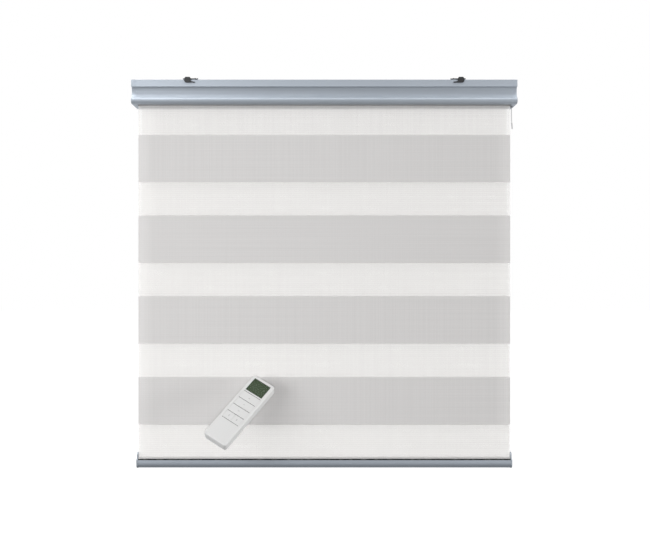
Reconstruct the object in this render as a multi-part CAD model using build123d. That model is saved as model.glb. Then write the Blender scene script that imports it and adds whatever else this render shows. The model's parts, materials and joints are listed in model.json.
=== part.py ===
from build123d import *
from math import asin, cos, pi, radians, sin, sqrt, tan
import os

# Motorized day and night blind, in millimetres.
# The origin is the middle of the four ceiling holes, on the ceiling plane.
# +X runs to the right seen from the front, +Y goes back to the wall, +Z is up.

# Cassette
rail_length = 800.0
rail_height = 51.0
bracket_rise = 5.5
strip_front = 34.0
strip_height = 15.0
rail_back = 26.0
rail_wall = 1.5
fascia_wall = 1.6
lip_radius = 7.5
lip_reach = 2.0
cove_radius = 18.0
cove_turn = 50.0
sole_depth = 5.0
seat_gap = 0.1
body_gap = 0.3

# Bracket channel on top of the cassette
slot_width = 14.0
channel_side_gap = 1.0
channel_depth = 4.0
channel_wall = 1.4

# Groove for the rear fabric layer
groove_width = 5.8
groove_depth = 4.3
groove_lip = 1.2
groove_slot = 2.4
groove_wall = 1.2

# Screw ports and screws of the end caps
port_radius = 3.0
screw_radius = 1.4
screw_clearance = 0.05
screw_length = 20.0
screw_head_radius = 2.8
screw_head_height = 1.8
head_recess_gap = 0.3
port_inset = 4.0
port_drop = 6.5

# End caps
cap_depth = 10.0
cap_wall = 1.8
cap_plate = 2.0
cap_boss_radius = 3.6
cap_round = 0.8

# Roller
roll_clearance = 0.3
tube_radius = 16.0
tube_wall = 1.4
tube_end_gap = 1.5
insert_width = 6.0
insert_depth = 0.9
fabric_thickness = 0.4
turn_pitch = 0.42
roll_turns = 2
lift_travel = 735.0
fabric_inset = 0.5

# Idler end
idler_pin_radius = 3.0
idler_pin_length = 22.0
idler_boss_radius = 7.0
idler_plug_length = 24.0
idler_plug_wall = 2.0
running_gap = 0.05
press_gap = 0.05

# Motor
motor_annulus = 2.1
motor_wall = 1.0
lead_bay = 21.4
head_rim = 1.5
head_depth = 6.0
head_flat = 1.5
stub_size = 10.0
stub_length = 1.6
socket_radius = 11.0
socket_gap = 0.15
crown_length = 14.0
crown_gap = 0.1
shaft_radius = 4.0
shaft_length = 30.0
shaft_flat = 1.2
shaft_step = 5.0
wheel_length = 16.0
wheel_hub_radius = 7.5
wheel_rim = 4.0
spoke_width = 2.0
spoke_count = 6
gearbox_length = 40.0
gearbox_wall = 1.5
gearbox_end_wall = 3.0
dc_motor_length = 50.0
dc_motor_inset = 0.7
sleeve_wall = 2.4
cell_length = 65.0
cell_count = 2
board_length = 60.0
board_width = 18.0
board_thickness = 1.6
chip_height = 2.2
chip_width = 9.0
chip_starts = (15.0, 36.0)
inner_gap = 0.2
bay_gap = 2.0
button_radius = 2.0
button_edge = 0.5
button_reach = 2.4
button_depth = 3.4
button_travel = 1.0
button_gap = 0.15
button_y = 3.9
head_port_x = 3.5

# Antenna lead
wire_radius = 0.8
wire_y = -4.0
wire_gap = 0.1
grommet_radius = 2.3
grommet_flange = 2.8
grommet_flange_height = 0.8
grommet_nose = 2.4
tip_length = 13.0
tip_wall = 0.35

# Brackets
bracket_inset = 110.0
bracket_hole_spacing = 30.0
bracket_hole_radius = 2.5
bracket_width = 24.0
bracket_thickness = 1.6
bracket_leg_drop = 40.0
bracket_leg_hole_drop = 22.0
tongue_width = 9.0
tongue_root = 22.0
hook_width = 14.0
hook_drop = 12.0
hook_prong = 9.0
hook_prong_height = 3.0
hook_shoulder = 3.2
rivet_radius = 2.0
rivet_head_radius = 3.75
rivet_head_height = 0.9
countersink_radius = 3.2
countersink_depth = 0.8
latch_hub_wall = 2.5
latch_gap = 0.1
lever_length = 38.0
lever_width = 7.0
lever_thickness = 2.4
lever_drop = 2.3
lever_angle = 60.0
lever_notch = 3.0
cam_bite = 2.5
cam_slot_gap = 2.0
cam_thickness = 1.9

# Bottom bar
fabric_drop = 756.6
bar_wall = 1.6
bar_corner = 9.0
bar_shoulder = 3.0
bar_mouth_gap = 1.8
bar_lip = 3.5
bar_side_gap = 0.5
bar_cap_flange = 3.0
ear_height = 12.8
ear_depth = 12.0
bar_roller_radius = 7.0
bar_roller_wall = 1.2
bar_roller_drop = 8.6
bar_roller_gap = 0.5
bar_pin_radius = 1.5
bar_pin_length = 14.0
bar_boss_radius = 4.5
bar_boss_length = 3.5
bar_tongue_width = 10.0
bar_tongue_gap = 0.7
bar_tongue_height = 1.8
bar_tongue_length = 9.0

# Rear insert strip
strip_bar_height = 2.6
strip_slit_depth = 1.6
strip_side_gap = 0.3

# Remote control, in its own frame: X across, Y along, Z out of the face
remote_x = -172.0
remote_y = -97.0
remote_z = -700.0
remote_turns = (50.0, 2.0, -34.0)
remote_length = 168.0
remote_width = 55.0
remote_corner = 6.0
remote_edge = 2.2
remote_inner_edge = 0.8
remote_wall = 1.8
remote_split = 1.5
face_margin = 7.0
window_length = 33.0
window_top = 6.0
window_flange = 1.4
window_flange_thickness = 1.0
display_thickness = 1.4
key_pitch = 18.6
key_rows = 4
key_line = 1.0
key_side_gap = 0.3
window_key_gap = 3.0
key_thickness = 2.7
key_flange = 1.2
key_flange_thickness = 0.8
key_travel = 0.8
key_recess = 0.1
pair_gap = 0.3
circuit_thickness = 1.6
circuit_end_gap = 7.2
circuit_side_gap = 1.7
switch_radius = 4.0
switch_height = 0.6
post_radius = 2.4
post_inset = 4.0
post_root = 0.5
aaa_radius = 5.2
aaa_length = 44.5
aaa_spacing = 11.2
aaa_from_end = 39.0
aaa_board_gap = 0.7
contact_gap = 1.6
contact_thickness = 0.4
contact_button_radius = 2.6
bay_end_wall = 1.6
bay_side = 0.4
bay_floor = 1.2
bay_frame_margin = 10.0
door_overlap = 2.75
door_side = 6.7
door_tongue = 1.0
door_gap = 0.15
door_skin = 0.9
small_gap = 0.2

# Heights and stations worked out from the sizes above
rail_top = -bracket_rise
rail_bottom = rail_top - rail_height
rail_half = rail_length / 2
bracket_spacing = rail_length - 2 * bracket_inset
cam_radius = slot_width / 2 + cam_bite
cam_width = slot_width - 2 * cam_slot_gap
channel_width = 2 * (cam_radius + channel_side_gap)
channel_floor = rail_top - rail_wall - channel_depth - channel_wall
step_z = rail_top - strip_height
tube_half = rail_half - tube_end_gap
tube_bore = tube_radius - tube_wall
fabric_half = tube_half - fabric_inset
roll_radius = tube_radius + roll_turns * turn_pitch
full_roll_radius = sqrt(roll_radius ** 2 + 2 * lift_travel * turn_pitch / pi)
roller_z = channel_floor - roll_clearance - full_roll_radius
front_y = -(roll_radius + body_gap + fabric_thickness / 2)
turn_radius = bar_roller_radius + body_gap + fabric_thickness / 2
bar_y = front_y + turn_radius
bar_top = rail_bottom - fabric_drop
turn_outer = turn_radius + fabric_thickness / 2
bar_mouth = 2 * (turn_outer + bar_mouth_gap)
bar_depth = bar_mouth + 2 * bar_lip
bar_floor = bar_roller_drop + turn_outer + bar_tongue_gap + bar_tongue_height + seat_gap
bar_height = bar_floor + bar_wall
bar_half = fabric_half + bar_side_gap
bar_roller_z = bar_top - bar_roller_drop
rear_y = bar_y + turn_radius
groove_y = rail_back - rail_wall - groove_width / 2
groove_top = rail_bottom + groove_lip + groove_depth + groove_wall
strip_bottom = rail_bottom + groove_lip + seat_gap
rear_top_z = strip_bottom + strip_slit_depth - seat_gap
head_port = rail_half + head_port_x
motor_radius = tube_bore - motor_annulus
motor_bore = motor_radius - motor_wall
head_radius = motor_radius + head_rim
motor_length = gearbox_length + inner_gap + dc_motor_length + lead_bay
motor_length += cell_count * (cell_length + inner_gap) + 2 * bay_gap + board_length + head_depth
head_flat_z = roller_z - head_radius + head_flat
latch_hub_radius = rivet_radius + latch_hub_wall
head_start = rail_half - seat_gap
port_hole = screw_radius + screw_clearance
lip_y = lip_radius - strip_front - lip_reach
lip_z = rail_bottom + lip_radius
cap_end = rail_half + cap_depth
cap_face = cap_end - cap_plate
circuit_drop = key_recess + key_thickness + key_travel + small_gap + switch_height
remote_stack = circuit_drop + circuit_thickness + aaa_board_gap + 2 * aaa_radius
remote_thickness = remote_stack + small_gap / 2 + remote_wall
circuit_length = remote_length - 2 * (remote_wall + circuit_end_gap)
circuit_width = remote_width - 2 * (remote_wall + circuit_side_gap)
window_width = remote_width - 2 * face_margin
key_width = window_width
key_field_top = window_top + window_length + window_key_gap
aaa_y = aaa_from_end - remote_length / 2
door_width = remote_width - 2 * door_side
remote_place = Location((remote_x, remote_y, remote_z), remote_turns)


def save(part, node):
    """Write one piece to its own file."""
    export_step(part, f"parts/{node}.step")


def band(y_low, y_high, z_low, z_high):
    """A rectangle in the cross-section plane."""
    middle = Pos((y_low + y_high) / 2, (z_low + z_high) / 2)
    return middle * Rectangle(y_high - y_low, z_high - z_low)


def bar_along(section, x_low, x_high):
    """A cross-section carried along X."""
    return extrude(Plane.YZ.offset(x_low) * section, x_high - x_low)


def rod(radius, x_low, x_high, y=0.0, z=0.0):
    """A round bar along X."""
    return bar_along(Pos(y, z) * Circle(radius), x_low, x_high)


def post(radius, z_low, z_high, x=0.0, y=0.0):
    """A round bar along Z."""
    return extrude(Plane.XY.offset(z_low) * Pos(x, y) * Circle(radius), z_high - z_low)


def block(x_low, x_high, y_low, y_high, z_low, z_high):
    """A box between two corners."""
    middle = Pos((x_low + x_high) / 2, (y_low + y_high) / 2, (z_low + z_high) / 2)
    return middle * Box(x_high - x_low, y_high - y_low, z_high - z_low)


def other_side(part):
    """The same piece at the other end of the blind."""
    return mirror(part, about=Plane.YZ)


def cassette_outline(inset):
    """The cassette's end view, drawn in by a wall."""
    cove = cove_radius + inset
    lip = lip_radius - inset
    turn = radians(cove_turn)
    cove_y = lip_y - (cove_radius + lip_radius) * cos(turn)
    cove_z = lip_z + (cove_radius + lip_radius) * sin(turn)
    ledge_z = step_z + inset
    start = asin((ledge_z - cove_z) / cove)
    middle = (start - turn) / 2
    tangent = (lip_y - lip * cos(turn), lip_z + lip * sin(turn))
    lip_middle = radians(225.0 - cove_turn / 2)
    sole = (lip_y, rail_bottom + inset)
    back = rail_back - inset
    top = rail_top - inset
    strip = inset - strip_front
    ledge = (cove_y + cove * cos(start), ledge_z)
    on_cove = (cove_y + cove * cos(middle), cove_z + cove * sin(middle))
    on_lip = (lip_y + lip * cos(lip_middle), lip_z + lip * sin(lip_middle))
    edges = Polyline(sole, (back, rail_bottom + inset), (back, top), (strip, top), (strip, ledge_z), ledge)
    edges += ThreePointArc(ledge, on_cove, tangent)
    edges += ThreePointArc(tangent, on_lip, sole)
    return make_face(edges)


def port_places():
    """The screw ports: two in the headrail and one in the fascia's lip."""
    upper = (rail_back - port_inset, rail_top - port_drop)
    lower = (rail_back - port_inset, groove_top + port_radius - seat_gap)
    front = (lip_y, rail_bottom + fascia_wall + port_radius - seat_gap)
    return upper, lower, front


def screw_port(place):
    """A round boss with its screw hole."""
    return Pos(*place) * Circle(port_radius), Pos(*place) * Circle(port_hole)


def headrail_profile():
    """Top, back, bracket channel and rear groove in one extrusion."""
    front = fascia_wall + seat_gap - strip_front
    inner_top = rail_top - rail_wall
    inner_back = rail_back - rail_wall
    channel = channel_width / 2
    floor = inner_top - channel_depth
    groove_low = groove_y - groove_width / 2
    section = band(front, rail_back, inner_top, rail_top)
    section += band(front, front + rail_wall, step_z + fascia_wall + seat_gap, rail_top)
    section += band(inner_back, rail_back, rail_bottom, rail_top)
    section += band(-channel - channel_wall, channel + channel_wall, floor - channel_wall, rail_top)
    section += band(groove_low - groove_wall, rail_back, rail_bottom, groove_top)
    section -= band(-channel, channel, floor, inner_top)
    section -= band(-slot_width / 2, slot_width / 2, floor, rail_top)
    section -= band(groove_low, inner_back, rail_bottom + groove_lip, groove_top - groove_wall)
    section -= band(groove_y - groove_slot / 2, groove_y + groove_slot / 2, rail_bottom, groove_top - groove_wall)
    for place in port_places()[:2]:
        boss, hole = screw_port(place)
        section += boss
        section -= hole
    return bar_along(section, -rail_half, rail_half)


def front_fascia():
    """Flat strip, cove and lip as one thin wall."""
    shell = cassette_outline(0.0) - cassette_outline(fascia_wall)
    section = shell - band(lip_y + sole_depth, rail_back, rail_bottom, rail_top)
    section -= band(fascia_wall - strip_front, rail_back, rail_top - fascia_wall, rail_top)
    boss, hole = screw_port(port_places()[2])
    section += boss
    section -= hole
    return bar_along(section, -rail_half, rail_half)


def cap_shell():
    """The shell both end caps share, at the right end."""
    outside = bar_along(cassette_outline(0.0), rail_half, cap_end)
    rim = outside.faces().sort_by(Axis.X)[-1].outer_wire().edges()
    outside = fillet(rim, cap_round)
    shell = outside - bar_along(cassette_outline(cap_wall), rail_half, cap_face)
    for y, z in port_places():
        shell += rod(cap_boss_radius, rail_half, cap_face, y, z) & outside
        shell -= rod(screw_radius + head_recess_gap, rail_half, cap_end, y, z)
        shell -= rod(screw_head_radius + head_recess_gap, cap_face, cap_end, y, z)
    return shell


def end_cap_left():
    """Left cap with the boss of the idler pin."""
    shell = cap_shell()
    shell += rod(idler_boss_radius, rail_half, cap_face, 0.0, roller_z)
    shell -= rod(idler_pin_radius, rail_half, cap_face, 0.0, roller_z)
    return other_side(shell)


def end_cap_right():
    """Right cap with the motor socket, the lead's hole and the button's hole."""
    shell = cap_shell()
    socket_start = head_start + head_depth + inner_gap
    half = stub_size / 2 + socket_gap
    shell += rod(socket_radius, socket_start, cap_face, 0.0, roller_z)
    shell -= block(socket_start, cap_face, -half, half, roller_z - half, roller_z + half)
    shell -= post(grommet_radius, rail_bottom, rail_bottom + cap_wall, head_port, wire_y)
    shell -= post(button_radius + body_gap, rail_bottom, rail_bottom + cap_wall, head_port, button_y)
    return shell


def end_cap_screws():
    """Three countersunk-flush screws in each cap."""
    screws = []
    for y, z in port_places():
        head = rod(screw_head_radius, cap_face, cap_face + screw_head_height, y, z)
        drive = rod(screw_radius, cap_face + screw_head_height / 2, cap_end, y, z)
        shank = rod(screw_radius, cap_face - screw_length, cap_face, y, z)
        screw = head + shank - drive
        screws += [screw, other_side(screw)]
    return Compound(children=screws)


def bracket_plate_left():
    """Bent steel plate: ceiling holes, front hook and rear leg."""
    x = -bracket_spacing / 2
    half = bracket_width / 2
    back = rail_back + body_gap
    hook_back = -(strip_front + body_gap)
    hook_front = hook_back - bracket_thickness
    plate = block(x - half, x + half, -tongue_root, back + bracket_thickness, -bracket_thickness, 0.0)
    plate += block(x - tongue_width / 2, x + tongue_width / 2, hook_front, -tongue_root, -bracket_thickness, 0.0)
    plate += block(x - half, x + half, back, back + bracket_thickness, -bracket_leg_drop, 0.0)
    hook_side = hook_width / 2
    outline = make_face(Polyline(
        (x - tongue_width / 2, 0.0),
        (x + tongue_width / 2, 0.0),
        (x + hook_side, -hook_shoulder),
        (x + hook_side, hook_prong_height - hook_drop),
        (x + hook_side + hook_prong, -hook_drop + hook_prong_height / 2),
        (x + hook_side + hook_prong, -hook_drop),
        (x - hook_side + hook_prong_height, -hook_drop),
        (x - hook_side, hook_prong_height - hook_drop),
        (x - hook_side, -hook_shoulder),
        close=True,
    ))
    plate += extrude(Plane.XZ.offset(-hook_back) * outline, bracket_thickness)
    for y in (-bracket_hole_spacing / 2, bracket_hole_spacing / 2):
        plate -= post(bracket_hole_radius, -bracket_thickness, 0.0, x, y)
    plate -= post(rivet_radius, -bracket_thickness, 0.0, x)
    plate -= countersink(x)
    leg_hole = Plane.XZ.offset(-back - bracket_thickness) * Pos(x, -bracket_leg_hole_drop)
    plate -= extrude(leg_hole * Circle(bracket_hole_radius), bracket_thickness)
    return plate


def countersink(x):
    """The rivet's flush head."""
    return Pos(x, 0, -countersink_depth / 2) * Cone(rivet_radius, countersink_radius, countersink_depth)


def bracket_latch_left():
    """Swivel lever with the cam that locks under the channel's lips."""
    x = -bracket_spacing / 2
    hub_top = -bracket_thickness - body_gap
    cam_top = rail_top - rail_wall - body_gap
    cam_bottom = cam_top - cam_thickness
    hub = post(latch_hub_radius, cam_bottom, hub_top, x)
    cam = post(cam_radius, cam_bottom, cam_top, x)
    cam = cam & block(x - cam_width / 2, x + cam_width / 2, -cam_radius, cam_radius, cam_bottom, cam_top)
    outline = Pos(lever_length / 2, 0) * Rectangle(lever_length, lever_width)
    outline -= Pos(lever_length, 0) * Rectangle(lever_notch * 2, lever_notch)
    lever_top = Plane.XY.offset(-lever_drop)
    lever = extrude(lever_top * Pos(x, 0) * Rot(0, 0, -lever_angle) * outline, -lever_thickness)
    latch = hub + cam + lever
    return latch - post(rivet_radius + latch_gap, cam_bottom, hub_top, x)


def bracket_rivets():
    """One rivet through each plate and latch."""
    x = -bracket_spacing / 2
    cam_bottom = rail_top - rail_wall - body_gap - cam_thickness
    head_top = cam_bottom - small_gap
    rivet = post(rivet_radius, head_top, 0.0, x)
    rivet += post(rivet_head_radius, head_top - rivet_head_height, head_top, x)
    rivet += countersink(x)
    return Compound(children=[rivet, other_side(rivet)])


def roller_tube():
    """Aluminium tube with the groove for the fabric's insert strip."""
    section = Pos(0, roller_z) * (Circle(tube_radius) - Circle(tube_bore))
    section -= insert_section(0.0, tube_radius)
    return bar_along(section, -tube_half, tube_half)


def insert_section(gap, top):
    """The groove on the tube's wall side, or the strip in it."""
    half = insert_width / 2 - gap
    return band(tube_radius - insert_depth + gap, top, roller_z - half, roller_z + half)


def roller_insert_strip():
    """Plastic strip that holds the fabric to the tube, flush with its surface."""
    flush = sqrt(tube_radius ** 2 - insert_width ** 2 / 4)
    return bar_along(insert_section(seat_gap / 2, flush), -fabric_half, fabric_half)


def fabric_roll():
    """The turns that stay on the tube when the blind is down."""
    ring = Circle(roll_radius) - Circle(tube_radius + press_gap)
    return bar_along(Pos(0, roller_z) * ring, -fabric_half, fabric_half)


def idler_pin():
    """Steel pin in the left cap."""
    return rod(idler_pin_radius, -cap_face, idler_pin_length - cap_face, 0.0, roller_z)


def idler_plug():
    """Bearing plug in the tube's left end."""
    outer = tube_bore - press_gap
    start = -tube_half
    plug = rod(outer, start, start + idler_plug_length, 0.0, roller_z)
    hollow = outer - idler_plug_wall
    plug -= rod(hollow, start + idler_plug_wall, start + idler_plug_length, 0.0, roller_z)
    plug += rod(idler_boss_radius, start, start + idler_plug_length, 0.0, roller_z)
    return plug - rod(idler_pin_radius + running_gap, start, start + idler_plug_length, 0.0, roller_z)


def motor_start():
    """Where the motor housing begins, at its output end."""
    return head_start - motor_length


def motor_housing():
    """Thin tube of the motor."""
    section = Pos(0, roller_z) * (Circle(motor_radius) - Circle(motor_bore))
    return bar_along(section, motor_start(), head_start)


def motor_head():
    """Fixed head with its square stub, the button's bore and the lead's exit."""
    head = rod(head_radius, head_start, head_start + head_depth, 0.0, roller_z)
    head -= block(head_start, cap_end, -head_radius, head_radius, roller_z - head_radius, head_flat_z)
    head += rod(motor_bore - press_gap, head_start - head_depth, head_start, 0.0, roller_z)
    half = stub_size / 2
    stub_end = head_start + head_depth + stub_length
    head += block(head_start + head_depth, stub_end, -half, half, roller_z - half, roller_z + half)
    bore_top = head_flat_z + button_depth + button_travel + button_gap
    return head - post(button_radius + button_gap, head_flat_z, bore_top, head_port, button_y)


def programming_button():
    """Small button under the motor head."""
    button = post(button_radius, head_flat_z - button_reach, head_flat_z + button_depth, head_port, button_y)
    return fillet(button.edges().filter_by(GeomType.CIRCLE).sort_by(Axis.Z)[0], button_edge)


def drive_crown():
    """Ring that turns with the tube and runs on the housing."""
    ring = Circle(tube_bore - press_gap) - Circle(motor_radius + crown_gap)
    return bar_along(Pos(0, roller_z) * ring, tube_half - crown_length, tube_half)


def output_shaft():
    """Gearbox shaft with the flat that drives the wheel."""
    start = motor_start() - shaft_length
    end = motor_start() + gearbox_end_wall
    shaft = rod(shaft_radius, start, end, 0.0, roller_z)
    flat_z = roller_z + shaft_radius - shaft_flat
    wheel_end = start + wheel_length + shaft_step
    return shaft - block(start, wheel_end, -shaft_radius, shaft_radius, flat_z, roller_z + shaft_radius)


def drive_wheel():
    """Wheel on the shaft that turns the tube."""
    start = motor_start() - shaft_length
    end = start + wheel_length
    outer = tube_bore - press_gap
    rim_inner = outer - wheel_rim
    ring = Circle(outer) - Circle(rim_inner) + Circle(wheel_hub_radius)
    for index in range(spoke_count):
        turned = Rot(0, 0, index * 360.0 / spoke_count)
        ring += turned * band(shaft_radius, rim_inner + seat_gap, -spoke_width / 2, spoke_width / 2)
    wheel = bar_along(Pos(0, roller_z) * ring, start, end)
    flat_z = roller_z + shaft_radius - shaft_flat
    bore = rod(shaft_radius + seat_gap / 2, start, end, 0.0, roller_z)
    keep = block(start, end, -shaft_radius, shaft_radius, flat_z + seat_gap / 2, roller_z + shaft_radius * 2)
    return wheel - (bore - keep)


def gearbox_case():
    """Gearbox in the housing's end, with the shaft's bearing wall."""
    start = motor_start()
    outer = motor_bore - inner_gap / 2
    case = rod(outer, start, start + gearbox_length, 0.0, roller_z)
    hollow_end = start + gearbox_length - gearbox_end_wall
    case -= rod(outer - gearbox_wall, start + gearbox_end_wall, hollow_end, 0.0, roller_z)
    return case - rod(shaft_radius + running_gap, start, start + gearbox_end_wall, 0.0, roller_z)


def dc_motor_start():
    """Where the direct-current motor begins, behind the gearbox."""
    return motor_start() + gearbox_length + inner_gap


def dc_motor():
    """Direct-current motor with its flange against the gearbox."""
    start = dc_motor_start()
    end = start + dc_motor_length
    motor = rod(motor_bore - dc_motor_inset, start, end, 0.0, roller_z)
    motor += rod(motor_bore - inner_gap / 2, start, start + gearbox_end_wall, 0.0, roller_z)
    return motor + rod(shaft_radius, end, end + bay_gap, 0.0, roller_z)


def control_board():
    """Radio and motor control board, on its edges in the housing."""
    bore = motor_bore - inner_gap
    low = roller_z - sqrt(bore ** 2 - board_width ** 2 / 4)
    end = head_start - head_depth - inner_gap
    start = end - board_length
    half = board_width / 2
    board = block(start, end, -half, half, low, low + board_thickness)
    chip_low = low + board_thickness
    chip_half = chip_width / 2
    for along in chip_starts:
        x = start + along
        board += block(x, x + chip_width, -chip_half, chip_half, chip_low, chip_low + chip_height)
    return board


def battery_cells():
    """Cells between the motor and the board, in their sleeve."""
    start = head_start - head_depth - board_length - bay_gap * 2
    cell_radius = motor_bore - inner_gap / 2 - sleeve_wall
    sleeve = Circle(motor_bore - inner_gap / 2) - Circle(cell_radius)
    cells = []
    for index in range(cell_count):
        low = start - (index + 1) * (cell_length + inner_gap)
        cells.append(rod(cell_radius, low, low + cell_length, 0.0, roller_z))
    length = cell_count * (cell_length + inner_gap)
    cells.append(bar_along(Pos(0, roller_z) * sleeve, start - length, start))
    return Compound(children=cells)


def wire_points():
    """The antenna lead's route, from the motor head down to its tip."""
    return [
        (head_port, wire_y, head_flat_z),
        (head_port, wire_y, rail_bottom - 2.5),
        (head_port + 0.25, wire_y - 0.1, rail_bottom - 17.5),
        (head_port + 0.8, wire_y - 0.3, rail_bottom - 33.5),
        (head_port + 1.6, wire_y - 0.6, rail_bottom - 48.5),
    ]


def tube_along(points, radius):
    """Straight runs joined by arcs as large as the runs allow."""
    spots = [Vector(*point) for point in points]
    radii = []
    for before, here, after in zip(spots, spots[1:], spots[2:]):
        turn = radians((here - before).get_angle(after - here))
        shorter = min((here - before).length, (after - here).length)
        radii.append(0.45 * shorter / tan(turn / 2))
    path = FilletPolyline(*points, radius=radii)
    start = Plane(origin=points[0], z_dir=spots[1] - spots[0])
    print("lead radii:", [round(value, 1) for value in radii], "length:", round(path.length, 1))
    return sweep(start * Circle(radius), path=path)


def antenna_wire():
    """The thin lead that hangs below the cap."""
    return tube_along(wire_points(), wire_radius)


def antenna_tip():
    """Closed sleeve over the lead's end."""
    low = Vector(*wire_points()[-1])
    run = Vector(*wire_points()[-2]) - low
    base = Plane(origin=low - run.normalized() * (tip_wall + wire_gap), z_dir=run)
    inner = wire_radius + wire_gap
    sleeve = extrude(base * Circle(inner + tip_wall), tip_length)
    bore = extrude(base.offset(tip_wall) * Circle(inner), tip_length)
    return sleeve - bore


def wire_grommet():
    """Rubber bush in the cap, with the nose the lead leaves by."""
    top = rail_bottom + cap_wall
    bush = post(grommet_radius, rail_bottom, top, head_port, wire_y)
    bush += post(grommet_flange, rail_bottom - grommet_flange_height, rail_bottom, head_port, wire_y)
    nose_top = rail_bottom - grommet_flange_height
    nose = Pos(head_port, wire_y, nose_top - grommet_nose / 2)
    bush += nose * Cone(wire_radius * 2, grommet_radius, grommet_nose)
    return bush - post(wire_radius + wire_gap, nose_top - grommet_nose, top, head_port, wire_y)


def fabric_front():
    """The front layer, from the roll down to the bottom roller."""
    half = fabric_thickness / 2
    section = band(front_y - half, front_y + half, bar_roller_z + body_gap, roller_z)
    return bar_along(section, -fabric_half, fabric_half)


def fabric_rear():
    """The rear layer, from the headrail's groove down to the bottom roller."""
    half = fabric_thickness / 2
    low = bar_roller_z + body_gap
    section = make_face(Polyline(
        (rear_y - half, low),
        (rear_y + half, low),
        (groove_y + half, rear_top_z),
        (groove_y - half, rear_top_z),
        close=True,
    ))
    return bar_along(section, -fabric_half, fabric_half)


def fabric_turn():
    """The fold of fabric under the bottom roller."""
    half = fabric_thickness / 2
    ring = Pos(bar_y, bar_roller_z) * (Circle(turn_radius + half) - Circle(turn_radius - half))
    outside = turn_radius + fabric_thickness
    ring -= band(bar_y - outside, bar_y + outside, bar_roller_z, bar_roller_z + outside)
    return bar_along(ring, -fabric_half, fabric_half)


def rear_insert_strip():
    """Slit strip that grips the rear layer's upper edge in the groove."""
    half = groove_width / 2 - strip_side_gap
    strip = band(groove_y - half, groove_y + half, strip_bottom, strip_bottom + strip_bar_height)
    slit = fabric_thickness / 2 + seat_gap
    strip -= band(groove_y - slit, groove_y + slit, strip_bottom, strip_bottom + strip_slit_depth)
    return bar_along(strip, -fabric_half, fabric_half)


def bar_outline(inset):
    """The bottom bar's end view, drawn in by a wall."""
    height = bar_height - 2 * inset
    depth = bar_depth - 2 * inset
    face = Pos(bar_y, bar_top - bar_height / 2) * Rectangle(depth, height)
    corners = face.vertices().sort_by(Axis.Y)
    face = fillet(corners[:2], bar_corner - inset)
    shoulders = face.vertices().sort_by(Axis.Y)[-2:]
    return fillet(shoulders, bar_shoulder - inset)


def bottom_bar_profile():
    """Aluminium channel, open at the top for the fabric."""
    half = bar_mouth / 2
    section = bar_outline(0.0) - bar_outline(bar_wall)
    section -= band(bar_y - half, bar_y + half, bar_roller_z, bar_top)
    return bar_along(section, -bar_half, bar_half)


def bottom_bar_cap_left():
    """End cap with its ear, the roller's bearing boss and the tongue in the profile."""
    end = -bar_half - bar_cap_flange
    cap = bar_along(bar_outline(0.0), end, -bar_half)
    ear_radius = ear_depth / 2
    ear_centre = bar_top + ear_height - ear_radius
    ear = band(bar_y - ear_radius, bar_y + ear_radius, bar_roller_z, ear_centre)
    ear += Pos(bar_y, ear_centre) * Circle(ear_radius)
    cap += bar_along(ear, end, -bar_half)
    cap += rod(bar_boss_radius, -bar_half, bar_boss_length - bar_half, bar_y, bar_roller_z)
    floor = bar_top - bar_floor + seat_gap
    half = bar_tongue_width / 2
    tongue = band(bar_y - half, bar_y + half, floor, floor + bar_tongue_height)
    cap += bar_along(tongue, -bar_half, bar_tongue_length - bar_half)
    bore = bar_pin_radius + running_gap
    return cap - rod(bore, -bar_half, bar_boss_length - bar_half, bar_y, bar_roller_z)


def bar_roller_half():
    """Half the bottom roller's length."""
    return bar_half - bar_boss_length - bar_roller_gap


def bottom_roller():
    """Steel tube that weighs the fabric down and lets it run round."""
    wall = Circle(bar_roller_radius) - Circle(bar_roller_radius - bar_roller_wall)
    half = bar_roller_half()
    return bar_along(Pos(bar_y, bar_roller_z) * wall, -half, half)


def bottom_roller_pins():
    """Flanged pins in both ends of the bottom roller."""
    start = -bar_half + bar_roller_gap
    plug = bar_roller_radius - bar_roller_wall - press_gap
    inner_end = bar_pin_length - bar_roller_half()
    pin = rod(bar_pin_radius, start, -bar_roller_half(), bar_y, bar_roller_z)
    pin += rod(plug, -bar_roller_half(), inner_end, bar_y, bar_roller_z)
    return Compound(children=[pin, other_side(pin)])


def remote_body(inset, edge):
    """The remote's rounded form, drawn in by a wall."""
    half = remote_thickness / 2 - inset
    corner = remote_corner - inset
    plan = RectangleRounded(remote_width - 2 * inset, remote_length - 2 * inset, corner)
    body = extrude(Plane.XY.offset(-half) * plan, 2 * half)
    rims = body.edges().group_by(Axis.Z)
    return fillet(rims[0] + rims[-1], edge)


def remote_half(low, high):
    """The hollow shell between two heights."""
    shell = remote_body(0.0, remote_edge) - remote_body(remote_wall, remote_inner_edge)
    side = remote_length
    return shell & block(-side, side, -side, side, low, high)


def window_y():
    """Middle of the display window."""
    return remote_length / 2 - window_top - window_length / 2


def key_field():
    """Lower and upper end of the keys' opening."""
    top = remote_length / 2 - key_field_top
    return top - key_rows * key_pitch - key_line, top


def remote_front_shell():
    """Face shell with the display window and the keys' opening."""
    face = remote_thickness / 2
    shell = remote_half(remote_split, face)
    low, high = key_field()
    across = key_width / 2 + key_side_gap
    shell -= block(-across, across, low, high, remote_split, face)
    window = window_width / 2
    along = window_length / 2
    return shell - block(-window, window, window_y() - along, window_y() + along, remote_split, face)


def cell_bay():
    """Low and high end of the battery bay."""
    reach = aaa_length / 2 + contact_gap + contact_thickness
    return aaa_y - reach, aaa_y + reach


def door_slot(gap):
    """The stepped slot that the battery door slides in."""
    low = -remote_thickness / 2
    top = low + remote_wall - gap
    wide = door_width / 2 + door_tongue - gap
    narrow = door_width / 2 - gap
    tongue_low = low + door_skin + gap
    end = cell_bay()[1] + door_overlap - gap
    slot = block(-narrow, narrow, -remote_length, end, low, top)
    return slot + block(-wide, wide, -remote_length, end, tongue_low, top)


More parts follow.
